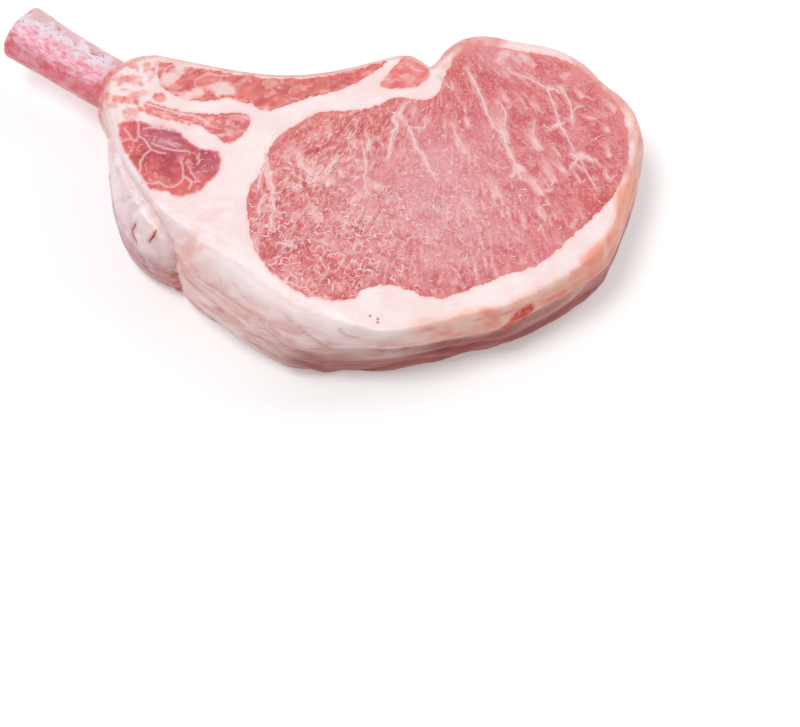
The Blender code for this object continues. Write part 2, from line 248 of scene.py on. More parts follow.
# the side: columns round the slice, each a run of levels from the crown down to the foot
edge = soften(even(outlines("fat_cap", CROWN_HEIGHT)[0], SIDE_STEP), 2)
edge_out = normals_of(edge, 7)
crown = edge - CROWN_INSET * edge_out
levels = np.concatenate([np.linspace(23.2, 3.2, 36), (2.5, 1.8, 1.2, FOOT_HEIGHT)])
turns = np.radians((68, 46, 24))
START_INSIDE = 4.0
reach = np.full((len(edge), len(turns) + len(levels)), np.nan)
for i, ((x, y), (nx, ny)) in enumerate(zip(edge, edge_out)):
    for j, turn in enumerate(turns):
        out = way_out((*crown[i], levels[0]), (nx * cos(turn), ny * cos(turn), sin(turn)), 12)
        reach[i, j] = np.nan if out is None else out
    for j, z in enumerate(levels):
        out = way_out((x - START_INSIDE * nx, y - START_INSIDE * ny, z), (nx, ny, 0), 18)
        reach[i, j + len(turns)] = np.nan if out is None else out - START_INSIDE


def bridged(rows):
    """The same rows with unread values bridged along each level, then smoothed."""
    known = ~np.isnan(rows)
    at = np.arange(len(rows))
    out = np.column_stack([
        np.interp(at, at[have], row[have], period=len(rows)) for have, row in zip(known.T, rows.T)
    ])
    for _ in range(80):
        beside = np.pad(out, ((0, 0), (1, 1)), mode="edge")
        around = (np.roll(out, 1, axis=0) + np.roll(out, -1, axis=0) + beside[:, :-2] + beside[:, 2:]) / 4
        out = np.where(known, out, around)
    return out


beside = bridged(reach)
usual = np.median([np.roll(beside, k, axis=0) for k in (-6, -4, -2, 2, 4, 6)], axis=0)
reach[np.abs(beside - usual) > 0.8] = np.nan
reach = bridged(reach)

# the side isn't smooth: long soft folds run round it, with a narrow crease between some of them
round_mm = SIDE_STEP * len(edge)
turn_at = np.linspace(0, 2 * pi, len(edge), endpoint=False)
ring = np.column_stack([np.cos(turn_at), np.sin(turn_at)]) * round_mm / (2 * pi)
side = np.empty((*reach.shape, 3))
for j, turn in enumerate(turns):
    side[:, j, :2] = crown + edge_out * (reach[:, j] * cos(turn))[:, None]
    side[:, j, 2] = levels[0] + reach[:, j] * sin(turn)
side[:, len(turns):, :2] = edge[:, None] + edge_out[:, None] * reach[:, len(turns):, None]
side[:, len(turns):, 2] = levels
fall = np.interp(edge[:, 0], (-76, -28, 10, 60), (0, 17, 21, 22)) * ramp(-edge[:, 1], -20, 5)
fold_at = np.concatenate([
    np.broadcast_to(ring[:, None], (*side.shape[:2], 2)), (side[:, :, 2] + fall[:, None])[..., None],
], axis=2).reshape(-1, 3)
phase = fold_at[:, 2] / 6.6 + 0.75 * rough(fold_at, (24, 24, 16), 21, 2)
across_fold = np.abs(phase - np.floor(phase) - 0.5)
crease = np.clip(1 - across_fold / 0.09, 0, 1) ** 1.4 * ramp(noise(fold_at, (17, 17, 7), 22), -0.25, 0.35)
swell = 0.3 * np.cos(2 * pi * (phase - 0.5)) * -1 + 0.34 * rough(fold_at, (12, 12, 6), 23, 3)
swell += 0.05 * rough(fold_at, (2.4, 2.4, 1.2), 24, 2)
shift = (swell - 0.5 * crease).reshape(side.shape[:2]) * ramp(CROWN_HEIGHT + 1.5 - side[:, :, 2], 0, 5)
side[:, :, :2] += edge_out[:, None] * shift[..., None]

# the cut faces: where muscle meets fat the outline is ragged, least round the eye's right side
RAGGED = (0.42, 0.42, 0.3, 0.42, 0.4)
cuts = []
for k, name in enumerate(MUSCLES):
    loop = soften(even(outlines(name, THICK / 2)[0], 0.38), 2)
    stray = RAGGED[k] * (rough(loop, 3.0, 30 + k, 2) + 0.55 * rough(loop, 0.95, 35 + k, 2))
    cuts.append(loop + normals_of(loop) * stray[:, None])


def kept_inside(loop, wall, keep):
    """The outline with its points held at least keep millimetres inside another outline."""
    wall_out = normals_of(wall, 7)
    tree = KDTree(len(wall))
    for k, (x, y) in enumerate(wall):
        tree.insert((x, y, 0), k)
    tree.balance()
    out = loop.copy()
    for k, point in enumerate(loop):
        near = tree.find((*point, 0))[1]
        out[k] -= max(0, keep - (wall[near] - point) @ wall_out[near]) * wall_out[near]
    return out


def spread_points(low, high, step, seed):
    """Points over a rectangle, about step millimetres apart and a little out of line."""
    rows = []
    for k, y in enumerate(np.arange(low[1], high[1], step * 0.866)):
        x = np.arange(low[0] + (k % 2) * step / 2, high[0], step)
        rows.append(np.column_stack([x, np.full(len(x), y)]))
    points = np.vstack(rows)
    return points + np.random.default_rng(seed).uniform(-0.14, 0.14, points.shape) * step


def cut_face(rim, loops, fine, coarse, seed):
    """Points and triangles over a cut face, with the number of the muscle each triangle is in; 0 is fat."""
    low, high = rim.min(axis=0), rim.max(axis=0)
    apart = spread_points(low, high, coarse, seed)
    in_lean = sum(inside(apart, loop) for loop in loops) > 0
    grid = [apart[~in_lean]]
    for loop in loops:
        close = spread_points(loop.min(axis=0), loop.max(axis=0), fine, seed + 1)
        grid.append(close[inside(close, loop)])
    grid = np.vstack(grid)
    grid = grid[inside(grid, rim)]
    grid = grid[distance_to(grid, np.vstack([rim, *loops])) > 0.6 * fine]
    polygons, at = [], 0
    for loop in (rim, *loops):
        polygons.append(list(range(at, at + len(loop))))
        at += len(loop)
    points = [Vector(p) for p in np.vstack([rim, *loops, grid])]
    made = geometry.delaunay_2d_cdt(points, [], polygons, 1, 1e-6)
    if len(made[0]) != len(points):
        raise ValueError("two outlines of the cut face touch")
    return np.array(made[0])[:, :2], np.array(made[2]), np.array([max(owners) for owners in made[5]])


foot = side[:, -1, :2]
upper_cuts = [kept_inside(loop, crown, 0.5) for loop in cuts]
lower_cuts = [kept_inside(loop, foot, 0.7) for loop in cuts]
upper_xy, upper_faces, upper_owner = cut_face(crown, upper_cuts, 0.38, 0.5, 41)
lower_xy, lower_faces, lower_owner = cut_face(foot, lower_cuts, 1.1, 1.1, 43)
seams = np.vstack(upper_cuts)
upper_rim = distance_to(upper_xy, crown)
upper_seam = distance_to(upper_xy, seams)
upper_z = np.full(len(upper_xy), THICK)
for k in np.flatnonzero(upper_rim < 7):
    upper_z[k] = top_height(*upper_xy[k])
upper_z += ramp(upper_rim, 0, 4) * (0.26 * noise(upper_xy, 31, 45) + 0.12 * noise(upper_xy, 11, 46))
upper_z -= 0.05 * (1 - ramp(upper_seam, 0, 0.7)) * ramp(upper_rim, 0, 1)
lower_z = np.array([foot_height(*p) for p in lower_xy])
lower_z[:len(foot)] = FOOT_HEIGHT
lower_z += ramp(distance_to(lower_xy, foot), 0, 3) * (0.1 + 0.1 * noise(lower_xy, 5, 47))
lower_z = np.maximum(lower_z, 0)


def band(above, below, inward):
    """Faces between two rows of points round an outline."""
    faces = np.column_stack([below, np.roll(below, -1), np.roll(above, -1), above])
    return faces[:, ::-1] if inward else faces


def slab(name, number, lift):
    """A closed piece of the slice, its upper face raised by lift(places, distance to the nearest seam).

    Returns the object, its points and their numbers among the points of the whole slice."""
    upper = np.column_stack([upper_xy, upper_z])
    own = np.zeros(len(upper), bool)
    own[np.unique(upper_faces[upper_owner == number])] = True
    fade = ramp(upper_seam[own], 0, 0.9) * ramp(upper_rim[own], 0, 2.5)
    upper[own, 2] = np.minimum(upper[own, 2] + fade * lift(upper_xy[own], upper_seam[own]), THICK + 0.6)
    points = np.vstack([upper, np.column_stack([lower_xy, lower_z]), side[:, :-1].reshape(-1, 3)])
    faces = [upper_faces[upper_owner == number], lower_faces[lower_owner == number][:, ::-1] + len(upper)]
    first = len(crown)
    for k, loop in enumerate(upper_cuts, start=1):
        row = np.arange(first, first + len(loop))
        first += len(loop)
        if number in (0, k):
            faces.append(band(row, row + len(upper), number == 0))
    if number == 0:
        above = np.arange(len(crown))
        start = len(upper) + len(lower_xy)
        for j in range(side.shape[1] - 1):
            row = start + np.arange(len(crown)) * (side.shape[1] - 1) + j
            faces.append(band(above, row, False))
            above = row
        faces.append(band(above, np.arange(len(crown)) + len(upper), False))
    used = np.unique(np.concatenate([f.ravel() for f in faces]))
    place = np.full(len(points), -1)
    place[used] = np.arange(len(used))
    mesh = bpy.data.meshes.new(name)
    mesh.from_pydata(points[used] * MM + MIDDLE, [], [tuple(f) for part in faces for f in place[part].tolist()])
    mesh.shade_smooth()
    mesh.set_sharp_from_angle(angle=radians(60))
    piece = bpy.data.objects.new(name, mesh)
    bpy.context.scene.collection.objects.link(piece)
    return piece, points[used], used


def note(piece, name, values):
    """Stores a number for each point of a piece, for its material to read."""
    piece.data.attributes.new(name, "FLOAT", "POINT").data.foreach_set("value", np.asarray(values, np.float32))


def spots(points, places):
    """The sum of soft round spots, each given as x, y, radius and strength."""
    total = np.zeros(len(points))
    for x, y, radius, strength in places:
        total += strength * np.exp(-((points[:, 0] - x) ** 2 + (points[:, 1] - y) ** 2) / radius ** 2)
    return total


# ================================================================ the loin eye
# The large muscle is lean pork cut across its fibres: pale rose, in bundles that fan out from under
# the chine, torn a little by the saw on the upper left. Thin white marbling shows all over it, in
# crinkled threads low on the left, and in long veins, stars and pale tongues of tissue on the right.

FAN = np.array([5.0, 53.0])  # the fibre bundles and the veins spread from here


def colour(text):
    """A linear colour from sRGB hex."""
    parts = [int(text[k:k + 2], 16) / 255 for k in (0, 2, 4)]
    return (*[c / 12.92 if c <= 0.04045 else ((c + 0.055) / 1.055) ** 2.4 for c in parts], 1.0)


def node(tree, kind, inputs=None, **settings):
    """Adds a node with its settings; each input is a value or another node's socket."""
    made = tree.nodes.new(kind)
    for key, value in settings.items():
        setattr(made, key, value)
    for key, value in (inputs or {}).items():
        if isinstance(value, bpy.types.NodeSocket):
            tree.links.new(value, made.inputs[key])
        else:
            made.inputs[key].default_value = value
    return made


def mix(tree, share, low, high):
    """A blend of two colours."""
    return node(tree, "ShaderNodeMix", {0: share, 6: low, 7: high}, data_type="RGBA").outputs[2]


def between(tree, value, low, high, to_low=0.0, to_high=1.0):
    """A value moved smoothly from one range to another."""
    return node(tree, "ShaderNodeMapRange", {
        "Value": value, "From Min": low, "From Max": high, "To Min": to_low, "To Max": to_high,
    }, interpolation_type="SMOOTHSTEP").outputs[0]


def sums(tree, operation, one, two):
    """One sum on two values."""
    return node(tree, "ShaderNodeMath", {0: one, 1: two}, operation=operation).outputs[0]


def seen(tree, name):
    """A value stored on the piece's points."""
    return node(tree, "ShaderNodeAttribute", attribute_name=name).outputs["Fac"]


def place_of(tree):
    """The place on the piece, in millimetres."""
    place = node(tree, "ShaderNodeTexCoord").outputs["Object"]
    return node(tree, "ShaderNodeVectorMath", {0: place, "Scale": 1 / MM}, operation="SCALE").outputs[0]


def mottle(tree, where, size, detail=2.0, roughness=0.5, distortion=0.0):
    """Soft noise with patches about size millimetres across."""
    return node(tree, "ShaderNodeTexNoise", {
        "Vector": where, "Scale": 1 / size, "Detail": detail, "Roughness": roughness,
        "Distortion": distortion,
    }).outputs["Fac"]


def blots(tree, where, size, low, high, detail=3.0, distortion=0.6, to_low=0.0, to_high=1.0):
    """Patches about size millimetres across: 0 outside them, 1 inside, crisp where low and high are close."""
    return between(tree, mottle(tree, where, size, detail, 0.55, distortion), low, high, to_low, to_high)


def threads(tree, where, size, width, distortion=0.0):
    """Thin wandering lines about size millimetres apart, 1 on a line and 0 off it."""
    wave = mottle(tree, where, size, 1.0, 0.5, distortion)
    off = sums(tree, "ABSOLUTE", sums(tree, "SUBTRACT", wave, 0.5), 0.0)
    return between(tree, off, 0.0, width, 1.0, 0.0)


def stretched(tree, where, scale):
    """The same place with each axis scaled."""
    return node(tree, "ShaderNodeMapping", {"Vector": where, "Scale": scale}).outputs[0]


def finish_of(material, base, height, relief, roughness, coat=0.0, soft=0.0, soft_reach=(1.6, 0.7, 0.5)):
    """Joins a colour, a height and a roughness to a moist, slightly translucent surface."""
    tree = material.node_tree
    bump = node(tree, "ShaderNodeBump", {"Height": height, "Distance": relief * MM, "Strength": 1.0})
    shader = node(tree, "ShaderNodeBsdfPrincipled", {
        "Base Color": base, "Roughness": roughness, "Normal": bump.outputs[0], "IOR": 1.42,
        "Coat Weight": coat, "Coat Roughness": 0.22,
        "Subsurface Weight": soft, "Subsurface Radius": soft_reach, "Subsurface Scale": MM,
    })
    tree.links.new(shader.outputs[0], node(tree, "ShaderNodeOutputMaterial").inputs[0])


def new_material(name):
    """An empty material, ready for its nodes."""
    material = bpy.data.materials.new(name)
    material.use_nodes = True
    material.node_tree.nodes.clear()
    return material


def grain_of(points):
    """Places laid out along the fan: across it, down it and up, in millimetres."""
    apart = points[:, :2] - FAN
    down = np.linalg.norm(apart, axis=1)
    up = points[:, 2] if points.shape[1] > 2 else np.zeros(len(points))
    return np.column_stack([45 * np.arctan2(apart[:, 0], -apart[:, 1]), down, up])


def along_fan(points):
    """The direction in which the fan's fibres run."""
    apart = points - FAN
    return apart / np.linalg.norm(apart, axis=1)[:, None]


# where the threads of marbling lie: the listed veins first, as places and a width at each
VEINS = [
    ([(18.5, 35.5), (22.5, 32), (26.5, 30), (29.5, 28), (31.5, 26), (32.5, 22.5), (33.5, 18), (34, 15),
      (35.5, 11.5), (37, 7.5), (38.5, 5)], 0.5),
    ([(38.5, 5), (39.5, 1), (41, -2.5), (42, -5.5)], 0.4),
    ([(32, 26.5), (33.2, 25.8)], 0.9),
    ([(31, 13.7), (32.5, 14.8), (34, 15), (35.6, 16)], 0.7),
    ([(35.5, 6.3), (37, 5.2), (38.7, 5.2), (40, 4.8), (42, 3.6)], 1.2),
    ([(35.5, 2), (37, 3.6), (38.6, 5.4)], 0.7),
    ([(10, 34), (12, 29.5), (13.5, 24.5), (14.5, 20), (16, 16), (18, 13)], 0.65),
    ([(18, 13), (19, 9.5), (20.5, 5), (21.5, 2.5)], 0.9),
    ([(17.4, 14.6), (18.3, 12.6), (19, 10.5)], 1.1),
    ([(19, 0), (20.4, 1.6), (21.5, 3.2), (23.2, 2)], 1.0),
    ([(21.5, 3), (21.8, 0.6), (22.3, -1)], 0.6),
    ([(18, 23.5), (19.5, 19.5), (18.7, 15)], 0.45),
    ([(35.5, 27), (36.5, 24), (37.5, 20), (37.5, 17.5), (37.5, 15)], 0.5),
    ([(37.5, 18.5), (39, 20), (41, 20.5)], 0.4),
    ([(3.5, 30.5), (5, 28.5)], 0.45),
    ([(4.5, 18), (6, 13), (7.5, 9)], 0.5),
    ([(9, 18.5), (9.2, 16.5)], 0.8),
    ([(27.5, 17), (26.5, 13), (27.5, 8)], 0.4),
    ([(45, 1), (45.5, -2), (48, -1)], 0.4),
    ([(-6, 25.5), (-8, 24), (-9.5, 22), (-10.8, 20), (-10.5, 17.5), (-12, 14.5), (-12.6, 12), (-13, 9.5),
      (-14, 8)], 1.25),
    ([(-8.5, 20), (-7, 17), (-6, 13), (-5.5, 11), (-4, 8.5), (-3, 6), (-2, 3.5), (-1, 0.5)], 0.85),
    ([(-7, 17.4), (-5, 17), (-3, 17), (-2, 20)], 0.5),
    ([(-20.5, 13.5), (-19.5, 8), (-20, 2.5), (-20, -2.5)], 0.55),
    ([(-18.2, 15), (-18.5, 11)], 0.7),
    ([(-15, 13.5), (-14.5, 12)], 0.4),
    ([(-27, 8.5), (-28.6, 7), (-30, 5)], 0.85),
    ([(-29.5, 6.5), (-31, 4.5)], 0.6),
    ([(-37, 9.5), (-36, 6.5), (-33.5, 4), (-31, 6.5)], 0.8),
    ([(-33.5, 4), (-34.5, 2)], 0.6),
    ([(-46.3, 12), (-46.3, 8), (-45.8, 4), (-45.2, 0.5), (-45.4, -2.5), (-44.8, -5.5)], 1.5),
    ([(-46.6, 9.5), (-47.8, 6.5), (-48.6, 4), (-49, 1)], 0.9),
    ([(-46, 0), (-48, -1.5), (-49, -4), (-49.2, -6.5)], 0.7),
    ([(-47.5, -5), (-46.5, -3.5), (-45.4, -4.6)], 0.55),
    ([(-44.8, -5.5), (-46, -7), (-46, -10), (-47.5, -9.5), (-48.6, -10.8)], 0.6),
    ([(-49.5, -12.6), (-50.8, -14.6), (-49.5, -17.2)], 0.45),
    ([(-45.5, -14.6), (-42.5, -15), (-39.6, -14.2)], 0.5),
    ([(-43.6, -17), (-42.5, -15), (-42.8, -12.8)], 0.45),
    ([(-42.5, -15), (-40.6, -16.8)], 0.45),
]
# tongues of pale tissue: where the ragged tip is, where it fades out, how wide it is and how strong
TONGUES = [
    ((19, 10.5), (17.5, 22), 2.3, 0.75), ((28, 7.5), (25, 14), 1.8, 0.85), ((28.5, 19), (27, 24), 1.3, 0.8),
    ((15.5, -6), (13, 2), 2.0, 0.85), ((31, -2.5), (28.5, 5), 1.9, 0.9), ((35, -0.5), (31, 4.5), 1.2, 0.9),
    ((27.5, -6), (23, 1.5), 1.6, 1.0), ((30.5, -4), (27, -5), 0.9, 0.8), ((27.5, -12.5), (25, -8), 1.5, 1.0),
    ((8.5, -11), (6, -5), 1.3, 0.8), ((22, -15.5), (21, -9), 1.1, 0.8), ((46.5, 4.5), (45.5, 9), 1.0, 0.8),
    ((44, 16), (38.5, 18.5), 0.7, 0.8), ((49.5, 18), (46.5, 23), 1.4, 0.8), ((47, 11.5), (46, 14.5), 1.1, 0.7),
    ((41, 22.5), (39, 26.5), 1.1, 0.8), ((38.5, 31), (35.5, 29.5), 0.9, 0.7), ((21, 21), (19, 27), 1.2, 0.7),
    ((25.5, 20.5), (22.5, 27), 0.7, 0.6), ((13, 27), (9.5, 35), 0.9, 0.8), ((7.5, 8), (4.5, 15), 1.2, 0.8),
    ((9, 16.5), (8.5, 20), 0.8, 0.8), ((34, -16), (36.5, -12), 1.2, 0.7), ((29, 33.5), (25, 38), 1.6, 0.8),
    ((-37, 7.5), (-37.5, 14), 1.6, 0.7), ((-33.5, 2.2), (-35.5, 10), 2.1, 0.9), ((-30.8, 4.6), (-26.5, 11), 0.9, 1.0),
    ((-29, 1.2), (-31, 4.5), 1.8, 0.9), ((-37.5, 0.6), (-42, 2.5), 1.3, 1.0), ((-15, -0.8), (-20, 1.2), 1.0, 1.0),
    ((-18.5, 10.5), (-18.5, 16), 0.6, 1.0), ((-32.6, -9.4), (-36, -4), 1.4, 1.0), ((-24.5, -4), (-20, -1.5), 1.0, 0.9),
    ((-24.6, -11), (-28.5, -8.2), 0.8, 0.9), ((-26, 3), (-27, 7.5), 0.8, 0.8), ((-28.5, 15.5), (-29.5, 21), 1.0, 0.6),
    ((-22, 12), (-23.5, 17.5), 1.0, 0.6), ((-41, 9), (-39, 16), 1.2, 0.5), ((-21, 5), (-22, 9), 0.8, 0.7),
]
# hollows, sunk in the surface, whose lean is painted dark as shade, as x, y, radius and strength
HOLLOWS = [
    (-28.4, 5.8, 1.0, 1.0), (-16, 13.3, 1.6, 0.8), (-36.3, 1.6, 1.5, 0.9), (-43.3, -3.2, 1.5, 0.5),
    (-35.5, -11.2, 1.8, 0.6), (-32.3, 0.2, 1.4, 0.8), (-31.5, 12.8, 2.4, 0.5), (-44, -16, 3, 0.5),
    (-27, -0.8, 1.2, 0.7), (15.5, 31.5, 2.2, 0.6), (20.4, 16, 1.4, 0.6), (38.5, -0.4, 1.6, 0.6),
    (29.5, -8.2, 1.6, 0.5), (33.3, 11.5, 2.4, 0.4), (44.5, -8, 3.0, 0.5), (-16.5, -27.5, 3.0, 0.7),
]


THREAD_STEP = 0.33
THREAD_GAP = 0.42
CLOSE_SET = [
    (-41, -14, 12, 1.0), (-25, -24, 13, 0.95), (-22, -8, 13, 0.6), (-46, 0, 7, 0.5), (-30, 4, 8, 0.35),
    (-4, -14, 14, 0.55), (-8, 18, 10, 0.15), (10, 0, 14, 0.2), (28, -6, 14, 0.12),
]


def network(loop, closeness, cell, seed):
    """A torn net of marbling inside an outline: wavering lines between the middles of uneven cells.

    Returns its lines, and for each of them whether its two ends meet other lines."""
    draw = np.random.default_rng(seed)
    low, high = loop.min(axis=0), loop.max(axis=0)
    grid = spread_points(low, high, cell, seed)
    grid += draw.normal(0, 0.2 * cell, grid.shape)
    made = geometry.delaunay_2d_cdt([Vector(p) for p in grid], [], [], 0, 1e-6)
    corners, faces = np.array(made[0])[:, :2], np.array([f[:3] for f in made[2]])
    middles = corners[faces].mean(axis=1)
    beside = {}
    for k, face in enumerate(faces):
        for one, two in zip(face, np.roll(face, 1)):
            beside.setdefault((min(one, two), max(one, two)), []).append(k)
    pairs = np.array([pair for pair in beside.values() if len(pair) == 2])
    centre = middles[pairs].mean(axis=1)
    pairs = pairs[draw.random(len(pairs)) < 0.6 * np.clip(spots(centre, closeness), 0, 1) ** 0.8]
    wall = loop - 0.4 * normals_of(loop)
    pairs = pairs[inside(middles[pairs[:, 0]], wall) & inside(middles[pairs[:, 1]], wall)]
    meets = np.bincount(pairs.ravel(), minlength=len(middles)) > 1
    lines = []
    for pair in pairs:
        start, end = middles[pair]
        line = start + (end - start) * np.linspace(0, 1, max(5, int(np.linalg.norm(end - start) / THREAD_STEP)))[:, None]
        line += 0.5 * np.column_stack([noise(line, 1.5, seed + 1), noise(line, 1.5, seed + 2)])
        line += 0.45 * np.column_stack([noise(line, 0.9, seed + 3), noise(line, 0.9, seed + 4)])
        lines.append(line)
    return lines, meets[pairs]


def drawn(places, seed):
    """A listed vein as a smooth line with a slight waver."""
    places = np.array(places, float)
    if len(places) == 2:
        places = np.vstack([places[0], places.mean(axis=0), places[1]])
    padded = np.vstack([2 * places[0] - places[1], places, 2 * places[-1] - places[-2]])
    line = []
    for before, start, end, after in zip(padded, padded[1:], padded[2:], padded[3:]):
        for t in np.arange(0, 1, THREAD_STEP / max(0.4, np.linalg.norm(end - start))):
            line.append(0.5 * (
                2 * start + (end - before) * t + (2 * before - 5 * start + 4 * end - after) * t * t
                + (3 * start - before - 3 * end + after) * t ** 3
            ))
    line = np.array(line + [places[-1]])
    return line + 0.22 * np.column_stack([noise(line, 1.6, seed), noise(line, 1.6, seed + 1)])


def tapered(line, width, seed, meets=(False, False)):
    """A width for each point of a thread: uneven, and fine at each end that meets no other thread."""
    t = np.linspace(0, 1, len(line))
    ends = np.where(meets[0], 1, 2 * t) * np.where(meets[1], 1, 2 * (1 - t))
    return width * np.sqrt(np.clip(ends, 0.02, 1)) * (1 + 0.5 * noise(line, 0.9, seed))


eye_edge = upper_cuts[0]
draw = np.random.default_rng(52)
eye_lines = [drawn(places, 60 + k) for k, (places, width) in enumerate(VEINS)]
vein_widths = [tapered(line, width, 61) for line, (places, width) in zip(eye_lines, VEINS)]
eye_widths = [np.minimum(widths, 0.7) for widths in vein_widths]
net, net_meets = network(eye_edge, CLOSE_SET, 2.0, 53)
for line, meets in zip(net, net_meets):
    eye_lines.append(line)
    eye_widths.append(tapered(line, np.clip(draw.lognormal(-1.0, 0.45), 0.18, 0.75), 62, meets))
eye_drawn = np.vstack(eye_lines)


# where veins meet, a small web of fat fills the corner
STARS = [
    (38.6, 5.4, 1.5, 1.1), (21.5, 3, 1.5, 1.1), (33.5, 15.3, 1.1, 0.9), (31.8, 26.4, 1.0, 0.8), (18.2, 13, 1.4, 0.9),
    (-42.5, -15, 0.9, 0.6), (-9.4, 20.6, 1.3, 0.9), (21.5, 39, 2.4, 0.8), (26, 37, 2.2, 0.8), (19, 36, 2.0, 0.6),
    (37.5, 17.5, 0.9, 0.8), (46.5, 5, 1.2, 0.7), (46.5, 12.5, 1.1, 0.6), (49.5, 19.3, 1.4, 0.6), (-38, 1.4, 1.3, 0.9),
    (-22, 3, 1.0, 0.7), (12, 41, 1.3, 0.5), (-45.8, 6, 1.6, 0.8),
]


def halo_of(points, lines, widths):
    """How much fat shows beside the veins: the widest are flat bands that their threads only crown."""
    drawn, wide = np.vstack(lines), np.concatenate(widths)
    tree = KDTree(len(drawn))
    for k, (x, y) in enumerate(drawn):
        tree.insert((x, y, 0), k)
    tree.balance()
    found = [tree.find((x, y, 0)) for x, y in points]
    away = np.array([f[2] for f in found]) + 0.16 * noise(points, 0.8, 51)
    wide = wide[[f[1] for f in found]]
    band = (1 - ramp(away, 0.4 * wide, 0.5 * wide + 0.35)) * np.clip(wide / 0.8, 0.4, 1)
    return np.maximum(band, 0.45 * (1 - ramp(away, 0.4, 1.7)) * ramp(noise(points, 2.6, 50), -0.4, 0.4))


def tongue_of(points):
    """How strongly the pale tongues of tissue show at each place, and the painted shadow that darkens the lean just
    past their tips.
    """
    scatter = np.random.default_rng(54)
    places = [
        (np.array(tip), np.array(root), wide * (1.1 if tip[0] < -14 else 0.75), min(1, strong * (1.3 if tip[0] < -14 else 1)))
        for tip, root, wide, strong in TONGUES
    ]
    for _ in range(300):
        tip = scatter.uniform((-46, -30), (52, 38))
        run = scatter.uniform(1.5, 5.5)
        ahead = along_fan(tip[None])[0] + scatter.normal(0, 0.08, 2)
        places.append((tip, tip - run * ahead, scatter.uniform(0.2, 0.6), scatter.uniform(0.3, 0.9)))
    ragged = 0.6 * noise(points, 1.1, 55) + 0.35 * noise(points, 0.6, 56)
    fibres = 0.75 + 0.5 * noise(grain_of(points)[:, :2], (0.55, 3), 57)
    pale, dark = np.zeros(len(points)), np.zeros(len(points))
    for tip, root, wide, strength in places:
        run = np.linalg.norm(tip - root)
        ahead = (tip - root) / run
        behind = (tip - points) @ ahead + ragged
        aside = (points - tip) @ np.array([-ahead[1], ahead[0]])
        spread = wide * (0.75 + 0.35 * np.clip(behind / run, 0, 1))
        across = strength * np.exp(-(aside / spread) ** 4)
        pale = np.maximum(pale, across * ramp(behind, -0.1, 0.2) * (1 - ramp(behind, 0.35 * run, 1.3 * run)))
        # a painted shadow: the lean just past each tip is darkened as if shaded by the tongue
        dark = np.maximum(dark, across * ramp(-behind, 0.0, 0.35) * (1 - ramp(-behind, 0.35, 1.2)))
    return np.clip(pale * fibres, 0, 1), np.clip(dark, 0, 1)


TORN = [(-31, 9, 11, 1.0), (-40, 2, 8, 0.7), (-16, 19, 9, 0.6), (-24, 16, 9, 0.7)]


def calm_of(points):
    """0 where the meat is rough and streaky, on the left, and 1 where it is smooth."""
    return ramp(points[:, 0] + 0.35 * points[:, 1], -8, 16)


def eye_lift(places, depth):
    """The eye's surface: it swells a little, with the ends of fibre bundles and the torn patch on it."""
    grain = grain_of(places)[:, :2]
    torn = np.clip(spots(places, TORN), 0, 1)
    bold = 1 - 0.6 * calm_of(places)
    lift = 0.14 * ramp(depth, 0, 6) + 0.16 * noise(places, 6, 62)
    lift += bold * (0.11 * noise(grain, (1.5, 3.2), 63) + 0.09 * noise(grain, (0.8, 1.5), 64))
    lift += torn * (0.42 * (0.4 - np.abs(noise(grain, (1.6, 3.6), 66))) + 0.16 * noise(grain, (0.9, 1.8), 67))
    pale, dark = tongue_of(places)
    lift += 0.16 * pale - 0.06 * dark - 0.3 * np.clip(spots(places, HOLLOWS), 0, 1)
    near = distance_to(places, eye_drawn)
    return lift + 0.06 * (1 - ramp(near, 0, 0.6))


eye, eye_points, eye_used = slab("loin_eye_lean", 1, eye_lift)
eye_below = eye_used >= len(upper_xy)
eye_xy = eye_points[:, :2]
eye.data.attributes.new("grain", "FLOAT_VECTOR", "POINT").data.foreach_set(
    "vector", grain_of(eye_points).astype(np.float32).ravel()
)
note(eye, "halo", halo_of(eye_xy, eye_lines[:len(VEINS)], vein_widths) * (1 - eye_below))
web = spots(eye_xy, STARS) * (1 + 0.5 * rough(eye_xy, 1.3, 56, 2))
note(eye, "web", ramp(web, 0.3, 0.85) * (1 - eye_below))
note(eye, "rich", np.clip(spots(eye_xy, CLOSE_SET), 0, 1))
tongue, shadow_past_tip = tongue_of(eye_xy)
note(eye, "tongue", tongue * (1 - eye_below))
torn_share = np.clip(spots(eye_xy, TORN), 0, 1)
flake = 1 - ramp(np.abs(noise(grain_of(eye_points)[:, :2], (1.6, 3.6), 66)), 0.03, 0.2)
note(eye, "flake", torn_share * flake * ramp(noise(eye_xy, 2.0, 65), -0.4, 0.3) * (1 - eye_below))
note(eye, "calm", calm_of(eye_xy))
# painted shade: the hollows, and the lean just past each tongue's tip, are darkened as shade
note(eye, "hollow_and_tip_shade", np.clip(spots(eye_xy, HOLLOWS) + 0.55 * shadow_past_tip, 0, 1))
note(eye, "top_edge", ramp(eye_xy[:, 1] + 0.7 * eye_xy[:, 0], 34, 44) * (1 - ramp(distance_to(eye_xy, eye_edge), 0.3, 1.8)))
note(eye, "busy", np.clip(spots(eye_xy, [(-2, -2, 16, 0.9), (-18, -10, 12, 0.6), (14, -10, 16, 0.6)]), 0, 1))
note(eye, "deep", np.clip(spots(eye_xy, [
    (-46, -2, 9, 0.7), (-40, -18, 9, 0.5), (-26, -28, 8, 0.6), (-20, 14, 10, 0.6), (9, 30, 7, 0.8),
    (28, 22, 8, 0.45), (30, 10, 6, 0.5), (42, -10, 6, 0.6), (44, -14, 5, 0.6), (33, 3, 4, -0.2),
    (-31, 13, 10, 0.6), (-37, 4, 6, 0.4), (42, 2, 6, 0.3), (-41, -12, 6, 0.3), (-45, 1, 5, 0.35),
]), 0, 1))
